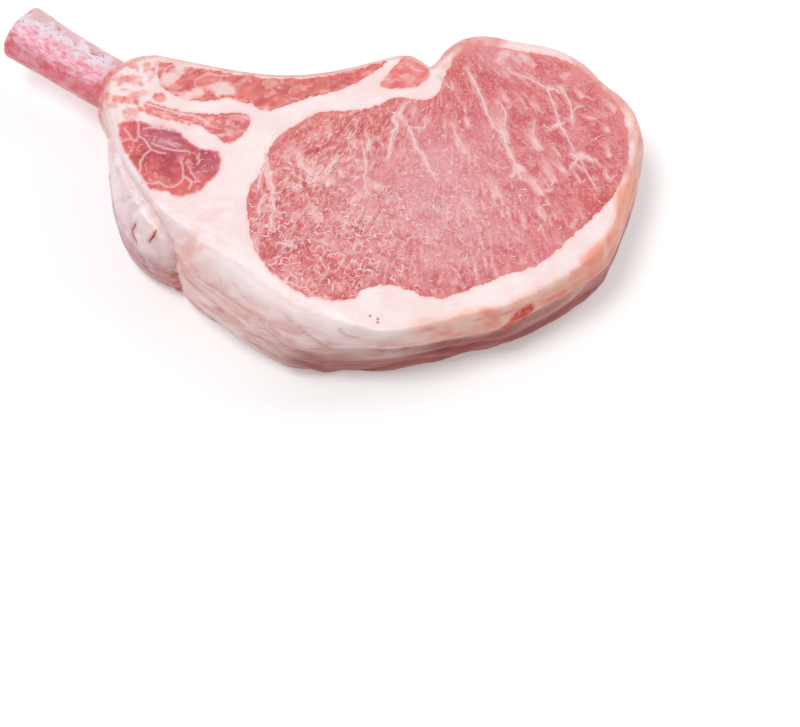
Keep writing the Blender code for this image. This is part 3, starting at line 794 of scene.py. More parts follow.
# painted sheen: a pale, greyish-pink veil of reflected light over the middle of the eye
note(eye, "painted_sheen", np.clip(spots(eye_xy, [
    (-4, -4, 14, 0.75), (8, -14, 10, 0.5), (-16, 2, 8, 0.3), (17, 38, 5, 0.8), (23, 36, 4, 0.7), (2, 8, 9, 0.5),
    (15, 15, 5, 0.4), (-26, 0, 6, 0.35), (0, -24, 6, 0.3),
]), 0, 1))
note(eye, "warm", np.clip(spots(eye_xy, [
    (-32, 16, 14, 0.9), (-48, -6, 7, 0.7), (-25, -31.5, 3, 1.3), (2, 34, 8, 0.7), (42, -12, 8, 0.6), (-30, -30, 9, 0.4), (-10, 24, 9, 0.6),
]), 0, 1))
note(eye, "inset", distance_to(eye_xy, eye_edge))

# lean pork: rose with darker pockets, paler where it is fatty, warmer round the edge, painted darker as shade in its
# hollows and past the pale tongues' tips, and with a painted pale sheen over its middle
lean = new_material("lean pork")
tree = lean.node_tree
place = place_of(tree)
grain = node(tree, "ShaderNodeAttribute", attribute_name="grain").outputs["Vector"]
bundles = stretched(tree, grain, (1, 0.55, 1))
rich = seen(tree, "rich")
calm = seen(tree, "calm")
rough_share = between(tree, calm, 0.0, 1.0, 1.0, 0.25)
base = mix(tree, blots(tree, place, 7, 0.38, 0.64), colour("D4646A"), colour("DF7C7F"))
base = mix(tree, sums(tree, "MULTIPLY", seen(tree, "deep"), 0.8), base, colour("C8444B"))
base = mix(tree, sums(tree, "MULTIPLY", seen(tree, "warm"), 0.5), base, colour("E26E62"))
pocket = sums(tree, "MULTIPLY", blots(tree, bundles, 1.9, 0.48, 0.6), rough_share)
base = mix(tree, sums(tree, "MULTIPLY", pocket, 0.6), base, colour("BB3E46"))
base = mix(tree, sums(tree, "MULTIPLY", blots(tree, bundles, 3.4, 0.47, 0.62, 4), 0.42), base, colour("EE9E9E"))
# painted sheen over the middle of the eye
base = mix(tree, sums(tree, "MULTIPLY", seen(tree, "painted_sheen"), 0.55), base, colour("E7A2AA"))
flecks = between(tree, rich, 0, 1, 0.22, 0.55)
flecks = sums(tree, "MULTIPLY", blots(tree, bundles, 1.3, 0.55, 0.61, 3, 0.9), sums(tree, "MULTIPLY", flecks, rough_share))
base = mix(tree, flecks, base, colour("F4B7B3"))
grit = blots(tree, place, 0.6, 0.56, 0.66)
base = mix(tree, sums(tree, "MULTIPLY", grit, 0.45), base, colour("F3C9C8"))
patchy = blots(tree, place, 4.0, 0.36, 0.56, 1)
crinkles = threads(tree, place, 1.1, 0.06, 1.0)
crinkles = sums(tree, "MULTIPLY", crinkles, sums(tree, "MULTIPLY", patchy, seen(tree, "busy")))
base = mix(tree, sums(tree, "MULTIPLY", crinkles, 0.85), base, colour("F5CDD1"))
# painted shade in the hollows and just past the tongues' tips
base = mix(tree, sums(tree, "MULTIPLY", seen(tree, "hollow_and_tip_shade"), 0.8), base, colour("BE4046"))
base = mix(tree, sums(tree, "MULTIPLY", seen(tree, "flake"), 0.85), base, colour("F7C6BC"))
fine = blots(tree, stretched(tree, grain, (1, 0.3, 1)), 0.85, 0.52, 0.6, 2)
base = mix(tree, sums(tree, "MULTIPLY", fine, 0.33), base, colour("F0AFAC"))
base = mix(tree, sums(tree, "MULTIPLY", seen(tree, "tongue"), 0.95), base, colour("F8CBC8"))
base = mix(tree, sums(tree, "MULTIPLY", seen(tree, "halo"), 0.85), base, colour("F8D2D2"))
base = mix(tree, sums(tree, "MULTIPLY", seen(tree, "web"), 0.85), base, colour("F7CDD0"))
dots = node(tree, "ShaderNodeTexVoronoi", {"Vector": place, "Scale": 1 / 1.2})
dot = between(tree, dots.outputs["Distance"], 0.1, 0.2, 1.0, 0.0)
dot = sums(tree, "MULTIPLY", dot, between(tree, dots.outputs["Color"], 0.5, 0.6))
base = mix(tree, sums(tree, "MULTIPLY", dot, 0.6), base, colour("F9DCDA"))
base = mix(tree, between(tree, seen(tree, "inset"), 0.0, 0.45, 0.5, 0.0), base, colour("E88983"))
base = mix(tree, sums(tree, "MULTIPLY", seen(tree, "top_edge"), 0.6), base, colour("EA9086"))
height = sums(tree, "ADD", sums(tree, "MULTIPLY", flecks, 0.5), sums(tree, "MULTIPLY", dot, 0.3))
height = sums(tree, "ADD", height, sums(tree, "MULTIPLY", crinkles, 0.3))
height = sums(tree, "ADD", height, mottle(tree, place, 0.9, 3))
finish_of(lean, base, height, 0.12, blots(tree, place, 2.2, 0.35, 0.65, 2, 0, 0.26, 0.42), 0.3)
eye.data.materials.append(lean)
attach(eye, "root")
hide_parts("loin_eye")


def surface_of(points, piece):
    """A tree for finding a piece's surface, in millimetres."""
    piece.data.calc_loop_triangles()
    return BVHTree.FromPolygons([tuple(p) for p in points], [tuple(t.vertices) for t in piece.data.loop_triangles])


def laid(lines, surface, widths):
    """Lines in plan laid on a surface from above, each sunk in it by a tenth of its width."""
    out = []
    for line, wide in zip(lines, widths):
        hits = [surface.ray_cast(Vector((x, y, THICK + 5)), Vector((0, 0, -1)))[0] for x, y in line]
        heights = np.array([hit.z if hit else THICK for hit in hits])
        out.append(np.column_stack([line, heights - 0.1 * wide]))
    return out


def fat_thread():
    """Threads of fat: each line of points is swept with a flattened round section as wide as the line says."""
    tree = bpy.data.node_groups.new("fat threads", "GeometryNodeTree")
    face = tree.interface
    face.new_socket("Lines", in_out="INPUT", socket_type="NodeSocketGeometry")
    face.new_socket("Width", in_out="INPUT", socket_type="NodeSocketFloat")
    face.new_socket("Flatness", in_out="INPUT", socket_type="NodeSocketFloat")
    face.new_socket("Fat", in_out="INPUT", socket_type="NodeSocketMaterial")
    face.new_socket("Threads", in_out="OUTPUT", socket_type="NodeSocketGeometry")
    given = node(tree, "NodeGroupInput").outputs
    width = node(tree, "GeometryNodeInputNamedAttribute", {"Name": "width"}, data_type="FLOAT").outputs[0]
    curve = node(tree, "GeometryNodeMeshToCurve", {"Mesh": given["Lines"]}).outputs[0]
    curve = node(tree, "GeometryNodeSetCurveNormal", {"Curve": curve}, mode="Z_UP").outputs[0]
    section = node(tree, "GeometryNodeCurvePrimitiveCircle", {"Resolution": 6, "Radius": 1.0}).outputs[0]
    flat = node(tree, "ShaderNodeCombineXYZ", {"X": 1.0, "Y": given["Flatness"], "Z": 1.0}).outputs[0]
    section = node(tree, "GeometryNodeTransform", {"Geometry": section, "Scale": flat}).outputs[0]
    swept = node(tree, "GeometryNodeCurveToMesh", {
        "Curve": curve, "Profile Curve": section, "Fill Caps": True,
        "Scale": sums(tree, "MULTIPLY", width, given["Width"]),
    }).outputs[0]
    swept = node(tree, "GeometryNodeSetShadeSmooth", {"Geometry": swept}).outputs[0]
    # how far each point's normal faces up is stored as crown, so the material can paint the thread's sides darker and
    # pinker: partly the lean showing through the thin edge, partly painted shade
    facing = node(tree, "GeometryNodeInputNormal").outputs[0]
    swept = node(tree, "GeometryNodeStoreNamedAttribute", {
        "Geometry": swept, "Name": "crown", "Value": node(tree, "ShaderNodeSeparateXYZ", {0: facing}).outputs["Z"],
    }, data_type="FLOAT", domain="POINT").outputs[0]
    swept = node(tree, "GeometryNodeRealizeInstances", {"Geometry": swept}).outputs[0]
    swept = node(tree, "GeometryNodeSetMaterial", {"Geometry": swept, "Material": given["Fat"]}).outputs[0]
    node(tree, "NodeGroupOutput", {"Threads": swept})
    return tree


def grown_piece(name, mesh, group, values):
    """The mesh that a geometry tree makes, as a plain object; values are the tree's inputs by name."""
    piece = bpy.data.objects.new(name, mesh)
    bpy.context.scene.collection.objects.link(piece)
    made = piece.modifiers.new("made", "NODES")
    made.node_group = group
    for socket in group.interface.items_tree:
        if socket.in_out == "INPUT" and socket.name in values:
            made[socket.identifier] = values[socket.name]
    shape = piece.evaluated_get(bpy.context.evaluated_depsgraph_get())
    plain = bpy.data.meshes.new_from_object(shape)
    piece.modifiers.clear()
    piece.data = plain
    return piece


def line_mesh(name, lines, widths, strengths):
    """A mesh of open lines, with a width and a whiteness stored on its points."""
    mesh = bpy.data.meshes.new(name)
    at, edges = 0, []
    for line in lines:
        edges += [(at + k, at + k + 1) for k in range(len(line) - 1)]
        at += len(line)
    mesh.from_pydata(np.vstack(lines) * MM + MIDDLE, edges, [])
    mesh.attributes.new("width", "FLOAT", "POINT").data.foreach_set("value", np.concatenate(widths))
    mesh.attributes.new("white", "FLOAT", "POINT").data.foreach_set(
        "value", np.concatenate([np.full(len(line), s) for line, s in zip(lines, strengths)])
    )
    return mesh


# marbling fat: white to pinkish, waxy, a little proud of the lean
marbling_fat = new_material("marbling fat")
tree = marbling_fat.node_tree
place = place_of(tree)
base = mix(tree, seen(tree, "white"), colour("F0B3B3"), colour("FBDCDB"))
base = mix(tree, between(tree, mottle(tree, place, 1.6, 2), 0.4, 0.75, 0.0, 0.5), base, colour("EDAFB0"))
# partly painted shade: the sides of each thread, where crown is low, are darker and pinker than its top
base = mix(tree, between(tree, seen(tree, "crown"), 0.3, 0.97), colour("DD8A8D"), base)
finish_of(marbling_fat, base, mottle(tree, place, 0.4, 2), 0.03, 0.4, 0.2, 0.0)

threads_tree = fat_thread()
eye_surface = surface_of(eye_points, eye)
whiteness = [0.75] * len(VEINS) + list(draw.uniform(0.1, 1.0, len(eye_lines) - len(VEINS)))
marbling = grown_piece("loin_eye_marbling", line_mesh(
    "loin_eye_marbling", laid(eye_lines, eye_surface, eye_widths), eye_widths, whiteness,
), threads_tree, {"Width": 0.5 * MM, "Flatness": 0.45, "Fat": marbling_fat})
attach(marbling, "root")
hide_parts("loin_eye")


def fat_specks():
    """Specks of fat: small flattened balls, scattered over a face as closely as its own attribute says."""
    tree = bpy.data.node_groups.new("fat specks", "GeometryNodeTree")
    face = tree.interface
    face.new_socket("Face", in_out="INPUT", socket_type="NodeSocketGeometry")
    face.new_socket("Closeness", in_out="INPUT", socket_type="NodeSocketFloat")
    face.new_socket("Size", in_out="INPUT", socket_type="NodeSocketFloat")
    face.new_socket("Fat", in_out="INPUT", socket_type="NodeSocketMaterial")
    face.new_socket("Specks", in_out="OUTPUT", socket_type="NodeSocketGeometry")
    given = node(tree, "NodeGroupInput").outputs
    crowd = node(tree, "GeometryNodeInputNamedAttribute", {"Name": "specks"}, data_type="FLOAT").outputs[0]
    spread = node(tree, "GeometryNodeDistributePointsOnFaces", {
        "Mesh": given["Face"], "Density": sums(tree, "MULTIPLY", crowd, given["Closeness"]), "Seed": 58,
    }).outputs
    ball = node(tree, "GeometryNodeMeshIcoSphere", {"Radius": 1.0, "Subdivisions": 2}).outputs[0]
    low = node(tree, "GeometryNodeTransform", {"Geometry": ball, "Scale": (1.0, 0.7, 0.35)}).outputs[0]
    size = node(tree, "FunctionNodeRandomValue", {"Min": 0.45, "Max": 1.3, "Seed": 59}, data_type="FLOAT")
    turn = node(tree, "FunctionNodeRandomValue", {"Max": 2 * pi, "Seed": 60}, data_type="FLOAT")
    turned = node(tree, "ShaderNodeCombineXYZ", {"Z": turn.outputs["Value"]}).outputs[0]
    placed = node(tree, "GeometryNodeInstanceOnPoints", {
        "Points": spread["Points"], "Instance": low, "Rotation": turned,
        "Scale": sums(tree, "MULTIPLY", size.outputs["Value"], given["Size"]),
    }).outputs[0]
    made = node(tree, "GeometryNodeRealizeInstances", {"Geometry": placed}).outputs[0]
    made = node(tree, "GeometryNodeSetShadeSmooth", {"Geometry": made}).outputs[0]
    # the specks are given a high crown, so they take little of the painted side shade
    made = node(tree, "GeometryNodeStoreNamedAttribute", {
        "Geometry": made, "Name": "crown", "Value": 0.9,
    }, data_type="FLOAT", domain="POINT").outputs[0]
    made = node(tree, "GeometryNodeSetMaterial", {"Geometry": made, "Material": given["Fat"]}).outputs[0]
    node(tree, "NodeGroupOutput", {"Specks": made})
    return tree


speck_crowd = 0.3 + spots(eye_xy, [(-30, -6, 16, 0.7), (20, 4, 22, 0.3), (-22, 6, 10, 0.4)])
note(eye, "specks", speck_crowd * (eye_used < len(upper_xy)) * ramp(distance_to(eye_xy, eye_edge), 0.3, 1.2))
specks = grown_piece("loin_eye_specks", eye.data.copy(), fat_specks(), {
    "Closeness": 0.32 / MM ** 2, "Size": 0.22 * MM, "Fat": marbling_fat,
})
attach(specks, "root")
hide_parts("loin_eye")


# ================================================================ the small muscles
# Four smaller cuts of muscle lie round the eye: dark flank meat in rounded lobes between white sheets,
# a salmon strip above it, pale coral rib meat laced with fat, and a coral knob beside the chine.
# They are cut flat with the eye, so each is its own share of the slice.


def small_muscle(name, number, lift, main, dark, pale, words, lines=0.5, streaks=0.5, coat=0.3):
    """A small muscle with its lean: main and dark mottled over it, pale in its streaks, white where fatty."""
    piece, points, used = slab(name, number, lift)
    material = new_material(words)
    tree = material.node_tree
    place = place_of(tree)
    base = mix(tree, blots(tree, place, 4.5, 0.4, 0.64), colour(main), colour(dark))
    base = mix(tree, seen(tree, "dark"), base, colour(dark))
    base = mix(tree, sums(tree, "MULTIPLY", seen(tree, "coral"), 0.8), base, colour("F0716C"))
    base = mix(tree, sums(tree, "MULTIPLY", seen(tree, "mauve"), 0.6), base, colour("C4748A"))
    streak = blots(tree, stretched(tree, place, (0.55, 1, 1)), 2.0, 0.5, 0.62)
    base = mix(tree, sums(tree, "MULTIPLY", streak, streaks), base, colour(pale))
    line = threads(tree, place, 2.2, 0.03, 0.5)
    line = sums(tree, "MULTIPLY", line, blots(tree, place, 4.0, 0.42, 0.6, 1))
    base = mix(tree, sums(tree, "MULTIPLY", line, lines), base, colour(pale))
    base = mix(tree, seen(tree, "fatty"), base, colour("F7D2D0"))
    height = sums(tree, "ADD", mottle(tree, place, 1.1, 3), sums(tree, "MULTIPLY", line, 0.5))
    finish_of(material, base, height, 0.11, blots(tree, place, 2.0, 0.35, 0.65, 2, 0, 0.3, 0.44), coat)
    piece.data.materials.append(material)
    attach(piece, "root")
    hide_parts(MUSCLES[number - 1])
    return piece, points, used


def marbled(name, piece, points, lines, widths, strengths, node_name):
    """Threads of fat over a small muscle."""
    laid_lines = laid(lines, surface_of(points, piece), widths)
    made = grown_piece(name, line_mesh(name, laid_lines, widths, strengths), threads_tree, {
        "Width": 0.5 * MM, "Flatness": 0.45, "Fat": marbling_fat,
    })
    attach(made, "root")
    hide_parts(node_name)
    return made


# flank: lobes of dark meat, domed between the white sheets that part them
SEPTA = [
    ([(-81, 25), (-80.5, 22.5), (-80.5, 20), (-79, 18.5), (-78, 16.5), (-77.5, 15.5)], 0.75),
    ([(-77.5, 15.5), (-79, 14), (-80, 12.5), (-80.5, 11), (-80.5, 8), (-80, 5.5)], 0.6),
    ([(-85.5, 18.5), (-83, 19), (-81.5, 18.5), (-80.5, 19.5)], 0.45),
    ([(-77.5, 15.5), (-75.5, 14.5), (-73.5, 14)], 0.4),
    ([(-80.5, 5.8), (-78, 5.2), (-75.5, 5.4), (-73, 4), (-70.5, 4.5), (-68.5, 6.5), (-66.5, 5), (-64.5, 5)], 0.6),
    ([(-68.5, 6.5), (-67, 5), (-67.5, 3)], 0.4),
    ([(-69.5, 11.5), (-69, 9), (-69, 6.5)], 0.4),
    ([(-67.5, 10), (-67, 8.5), (-65.5, 5.5)], 0.4),
    ([(-64.5, 13), (-64.5, 11), (-65, 10)], 0.6),
    ([(-79, 22), (-76.5, 22), (-73.5, 21.5), (-70, 20.5)], 0.4),
    ([(-77, 17.5), (-74.5, 16), (-73, 15.5), (-69.5, 14.5), (-67, 14)], 0.5),
    ([(-84.6, 22.6), (-83.2, 20.6), (-82.4, 19)], 0.35),
]
septa = [drawn(places, 70 + k) for k, (places, width) in enumerate(SEPTA)]
septa_drawn = np.vstack(septa)


def flank_lift(places, depth):
    """Each lobe is domed, and the meat lies a little below the fat round it."""
    near = np.minimum(distance_to(places, septa_drawn), depth)
    return 0.4 * ramp(near, 0, 3.0) - 0.15 + 0.14 * noise(places, 3.0, 71) + 0.05 * noise(places, 1.1, 72)


flank, flank_points, used = small_muscle(
    "flank_lean", 5, flank_lift, "D2555C", "B23D47", "E08A94", "dark flank lean", 0.3, 0.35, 0.15,
)
at = flank_points[:, :2]
note(flank, "dark", np.clip(spots(at, [
    (-74, 8.5, 4.5, 0.5), (-79.5, 16.5, 2.2, 0.7), (-72.5, 13, 1.6, 1.0), (-62, 10.5, 4, 0.7), (-74, 19.5, 4, 0.3),
    (-71, 18, 3, 0.4),
]), 0, 1))
note(flank, "coral", np.clip(spots(at, [
    (-84, 22, 3, 0.9), (-83, 16, 3, 0.7), (-80.5, 9, 2.5, 0.8), (-69, 2.5, 4.5, 0.9), (-76, 3.5, 3.5, 0.8), (-62, 5, 3, 0.5),
]), 0, 1))
note(flank, "mauve", np.clip(spots(at, [(-74, 19.5, 4, 0.9), (-70.5, 15.5, 2.6, 0.8), (-61.5, 10.5, 3.5, 0.8)]), 0, 1))
border = distance_to(at, upper_cuts[4]) + 0.35 * noise(at, 1.3, 73)
note(flank, "fatty", np.clip(
    0.5 * (1 - ramp(distance_to(at, septa_drawn), 0.1, 0.55)) + 0.6 * (1 - ramp(border, 0, 0.7)), 0, 1,
))
flank_net, flank_meets = network(upper_cuts[4], [(-83, 14, 5, 0.8), (-78, 4, 4, 0.6), (-61, 11, 5, 0.6)], 2.2, 74)
marbled(
    "flank_marbling", flank, flank_points, septa + flank_net,
    [0.35 * tapered(line, width, 75) + 0.1 * width for line, (places, width) in zip(septa, SEPTA)]
    + [tapered(line, 0.3, 76, meets) for line, meets in zip(flank_net, flank_meets)],
    [0.4] * len(septa) + [0.1] * len(flank_net), "flank_muscle",
)


# seam: a strip of salmon muscle, thin at the rib and wide at its other end
def seam_lift(places, depth):
    """Low bundles along the strip."""
    return 0.3 * rough(places, (4.4, 2.2), 81, 2) + 0.2 * ramp(depth, 0, 2) - 0.1


seam, points, used = small_muscle(
    "seam_lean", 4, seam_lift, "E8827F", "D6666A", "F5BDBC", "salmon seam lean", coat=0.12,
)
at = points[:, :2]
note(seam, "dark", np.clip(spots(at, [(-57, 22, 4, 0.6), (-53, 20, 3, 0.5), (-71, 27, 4, 0.2)]), 0, 1))
between_strips = distance_to(at, drawn([(-80, 30.2), (-75, 28.2), (-70, 26), (-65, 24.6), (-61.5, 22.5)], 88))
note(seam, "fatty", np.maximum(
    0.35 * ramp(rough(at, (3.4, 1.6), 82, 3), 0.15, 0.5), 0.8 * (1 - ramp(between_strips, 0.15, 0.5)),
))


# rib meat: coral lumps in a lace of white fat near the bone, and streaky meat towards the chine
def rib_share(places):
    """1 where the rib meat is lean and 0 where it is fat."""
    lumps = rough(places, (6.4, 4.4), 83, 3) + spots(places, [
        (-67, 34.5, 3.6, 1.5), (-60, 36.5, 3.2, 0.9), (-62, 29.3, 1.8, 1.2), (-74.5, 31.8, 1.3, 1.5),
        (-66.4, 31.4, 1.5, -0.8), (-63.6, 32.6, 1.5, -0.9), (-56.5, 33, 2.0, -0.7), (-72, 37, 2.6, -0.9),
    ])
    share = ramp(lumps + 1.1 * ramp(places[:, 0], -60, -48), -0.5, 0.5)
    sheets = ramp(np.abs(noise(places, (7, 4.6), 80)) + 0.3 * ramp(places[:, 0], -58, -46), 0.0, 0.16)
    return share * (0.35 + 0.65 * sheets)


def rib_lift(places, depth):
    """The lumps stand above the fat between them."""
    return 0.24 * rib_share(places) - 0.12 + 0.26 * noise(places, (4.6, 3.0), 84)


rib, points, used = small_muscle(
    "rib_lean", 2, rib_lift, "E9827B", "D0605F", "F5B9B2", "coral rib lean", coat=0.12,
)
at = points[:, :2]
note(rib, "dark", np.clip(spots(at, [
    (-42, 33, 5, 0.9), (-48, 34, 4, 0.5), (-35, 33, 4, 0.5), (-22, 36.5, 5, 0.7), (-28, 34, 3, 0.5),
]) * ramp(rough(at, (4, 2), 85, 2), -0.5, 0.3), 0, 1))
note(rib, "fatty", np.clip(0.95 - rib_share(at), 0, 1))


# the knob beside the chine: smooth coral meat
def chine_lift(places, depth):
    """One low dome."""
    return 0.3 * ramp(depth, 0, 4) + 0.1 * noise(places, 2.4, 86)


chine, points, used = small_muscle(
    "chine_lean", 3, chine_lift, "F19690", "E7736E", "F8C5C2", "coral chine lean",
)
at = points[:, :2]
note(chine, "dark", spots(at, [(-7, 33, 3, 0.6), (-10.5, 32, 2, 0.4)]))
note(chine, "fatty", 0.5 * ramp(noise(at, (2.6, 1.4), 87), 0.3, 0.8))

# ================================================================ the fat
# Back fat holds the muscles together: white and waxy on the cut face, with faint rings near the lean.
# Round the outside it is pinker, soft and folded, peach where it has dried along the lower right, and
# under the ribs and over the top of the eye it thins to a pink membrane. Its side is painted darker and
# redder low down, towards the foot and in its creases, as shade.
COLLAR = [(-87, 34, 6, 1.0), (-88, 41, 5, 1.0), (-80, 42, 5, 0.9), (-80, 31, 4, 0.6), (-83, 26.5, 3, 0.7)]


def fat_lift(places, depth):
    """Nearly flat, with a rough collar round the rib and a soft lump in the notch beside the chine."""
    collar = np.clip(spots(places, COLLAR), 0, 1)
    lift = 0.06 * noise(places, 7, 91) + 0.05 * noise(places, 3, 92) + 0.012 * noise(places, 0.9, 93)
    lift += collar * 0.42 * rough(places, (4.2, 2.6), 94, 3)
    return lift + spots(places, [(3.6, 36.4, 1.8, 0.5), (2.6, 32.2, 1.2, 0.4), (-64, -9, 5, 0.15)])


fat, fat_points, used = slab("back_fat", 0, fat_lift)
at = fat_points[:, :2]
up = fat_points[:, 2]
on_face = used < len(upper_xy)
from_rim = np.where(on_face, distance_to(at, crown), 0)
note(fat, "lean_off", np.where(on_face, distance_to(at, seams), 20))
note(fat, "side", ramp(THICK - 0.8 - up, 0, 5) * ~on_face)
wander_in = 2.2 * ramp(noise(at, 9, 90), -0.3, 0.8) + 0.6 * rough(at, 3, 99, 2)
rimward = np.where(on_face, 1 - ramp(from_rim - wander_in, -1.2, 1.8), ramp(up, 14, 20))
right_low = ramp(at[:, 0], -22, 4) * ramp(at[:, 0] - at[:, 1], 20, 34)
note(fat, "peach", rimward * right_low * ramp(rough(at, (8, 8), 95, 3), -1.7, -0.2))
note(fat, "dry_edge", rimward * ramp(at[:, 0], 26, 42) * ramp(at[:, 0] - at[:, 1], 36, 52))
# partly painted shade: the lower right side is painted darker red, for the shade it lies in as well as its redder skin
note(fat, "low_side_red_and_shade", ~on_face * right_low * ramp(19 - up, 0, 9))
membrane = np.where(on_face, 1 - ramp(from_rim, 0.4, 1.6), 1.0)
WHITE_PATCHES = [
    (25, 40.5, 4.5, 1.1), (32, 38, 3.5, 1.1), (37, 35.5, 3, 1.0), (53.5, 15.5, 3.5, 1.0), (54.5, 6, 4, 1.0), (20, 38.5, 3, 0.5),
]
patches = np.clip(spots(at, WHITE_PATCHES), 0, 1) * on_face
membrane *= 1 - 0.75 * patches
note(fat, "membrane", membrane * np.maximum(ramp(at[:, 1], 26, 36), ramp(at[:, 0] + at[:, 1], 50, 62)))
# painted shade: the side is painted dark brownish red low down in the middle and on the right, and all round near the
# foot
note(fat, "under", ~on_face * np.maximum(ramp(21 - up, 0, 12) * ramp(at[:, 0], -58, -36), 0.75 * ramp(6 - up, 0, 5)))
whole = np.zeros(len(upper_xy) + len(lower_xy) + len(side) * (side.shape[1] - 1))
# the creases of the side's folds, for the painted crease shade
whole[len(upper_xy) + len(lower_xy):] = crease.reshape(side.shape[:2])[:, :-1].ravel()
note(fat, "crease", whole[used])
note(fat, "blush", np.clip(spots(at, [
    (-66, -12, 6, 0.5), (-60, -3, 4, 0.25), (-76, -2, 4, 0.4), (-70, -16, 5, 0.4), (-40, -33, 6, 0.2),
    (-57, 20, 3, 0.2), (3.6, 36.4, 2.2, 0.8), (2.6, 32.2, 1.4, 0.6), (-74, 22.5, 3, 0.5), (-67, 20.5, 3, 0.4),
]) * ramp(rough(at, (6, 3), 96, 3), -0.5, 0.4), 0, 1))
collar = np.clip(spots(at, COLLAR), 0, 1)
islands = spots(at, [
    (-75, 31.4, 1.5, 1.3), (-73.6, 31.0, 1.2, 1.0), (-86.7, 31.9, 1.3, 1.0), (-84.8, 31.3, 1.2, 1.0), (-82.8, 30.8, 1.2, 1.0),
    (-81, 30.4, 1.2, 0.8), (-80, 28.0, 1.1, 0.9), (-78, 27.2, 1.1, 0.9), (-88, 41, 1.6, 1.2), (-91.2, 32.5, 1.6, 1.2),
    (-84, 27, 1.6, 0.7), (-82.7, 37.5, 2.0, 0.8), (-79.8, 35.8, 1.6, 0.7), (-85.8, 36.8, 1.8, 0.7), (-76.5, 37, 1.5, 0.6),
    (-77.2, 26.4, 0.9, 1.0), (-75.6, 25.8, 0.9, 1.0), (-74, 25.2, 0.9, 1.0), (-72.1, 24.6, 0.9, 1.0), (-70.3, 24, 0.9, 1.0),
    (-68.5, 23.3, 0.9, 0.9), (-66.7, 22.5, 0.8, 0.9), (-78, 41, 2.4, 0.7), (-74.5, 40, 2.2, 0.6), (-71, 39.2, 1.8, 0.5),
]) * (1 + 0.5 * rough(at, 1.8, 89, 2))
note(fat, "collar", np.clip(np.maximum(
    0.85 * collar * ramp(rough(at, (4.2, 2.6), 94, 3), -0.15, 0.5), ramp(islands, 0.3, 0.85),
), 0, 1))
ringed = on_face * np.maximum(ramp(at[:, 1], 27, 33) * ramp(at[:, 0], 4, 9), ramp(at[:, 0] + 0.6 * at[:, 1], 46, 52))
note(fat, "rosy", ringed * np.clip(0.95 - patches + 0.3 * rough(at, 3, 98, 2), 0, 1))
slope = np.array([8.3, 3.8, 8.7])
slope /= np.linalg.norm(slope)
off = fat_points - (18.2, -38.2, 19.8)
run = off @ slope
spread = np.linalg.norm(off - run[:, None] * slope, axis=1) + 0.5 * noise(fat_points, 2.2, 97)
note(fat, "flesh", (1 - ramp(np.hypot(run / 7.0, spread / 3.4), 0.7, 1.05)) * ~on_face)

# back fat: white and waxy, pink and dull outside
back_fat = new_material("back fat")
tree = back_fat.node_tree
place = place_of(tree)
white = mix(tree, between(tree, mottle(tree, place, 8, 3), 0.35, 0.7), colour("FDEBEB"), colour("FADFDE"))
lean_off = seen(tree, "lean_off")
wander = sums(tree, "MULTIPLY", mottle(tree, place, 5, 2), 4.0)
rings = node(tree, "ShaderNodeMath", {0: sums(tree, "ADD", lean_off, wander), 1: 0.8}, operation="PINGPONG")
ring = between(tree, rings.outputs[0], 0.0, 0.12, 1.0, 0.0)
ring = sums(tree, "MULTIPLY", ring, between(tree, mottle(tree, place, 5.5, 1), 0.48, 0.62))
ring = sums(tree, "MULTIPLY", ring, between(tree, lean_off, 3.5, 7.0, 1.0, 0.5))
white = mix(tree, sums(tree, "MULTIPLY", ring, 0.4), white, colour("E7C6D1"))
white = mix(tree, between(tree, lean_off, 0.0, 1.0, 0.5, 0.0), white, colour("F3C3C2"))
long = stretched(tree, place, (0.5, 0.5, 2.4))
outside = mix(tree, between(tree, mottle(tree, long, 4.5, 4, 0.62, 0.4), 0.36, 0.66), colour("FADFDD"), colour("E8B0AC"))
base = mix(tree, seen(tree, "side"), white, outside)
base = mix(tree, sums(tree, "MULTIPLY", seen(tree, "rosy"), 0.9), base, colour("E58A80"))
base = mix(tree, seen(tree, "blush"), base, colour("F2B3AB"))
# partly painted shade: darker red low on the right side
base = mix(tree, sums(tree, "MULTIPLY", seen(tree, "low_side_red_and_shade"), 0.85), base, colour("D16A60"))
dried = mix(tree, between(tree, mottle(tree, place, 6.0, 3, 0.5, 0.2), 0.32, 0.7), colour("FFCFBC"), colour("F9977C"))
dried = mix(tree, sums(tree, "MULTIPLY", seen(tree, "dry_edge"), 0.6), dried, colour("F58B6E"))
base = mix(tree, sums(tree, "MULTIPLY", seen(tree, "peach"), 0.95), base, dried)
skin = mix(tree, between(tree, mottle(tree, long, 3.4, 3, 0.55, 0.5), 0.34, 0.7), colour("F1C4C1"), colour("DC8C86"))
base = mix(tree, sums(tree, "MULTIPLY", seen(tree, "membrane"), 0.9), base, skin)
# painted shade: the narrow creases between the side's folds are painted darker and redder
base = mix(tree, sums(tree, "MULTIPLY", seen(tree, "crease"), 0.6), base, colour("D3786F"))
lump = mix(tree, between(tree, mottle(tree, place, 1.7, 3), 0.38, 0.64), colour("F59A90"), colour("E4685F"))
base = mix(tree, sums(tree, "MULTIPLY", seen(tree, "collar"), 0.9), base, lump)
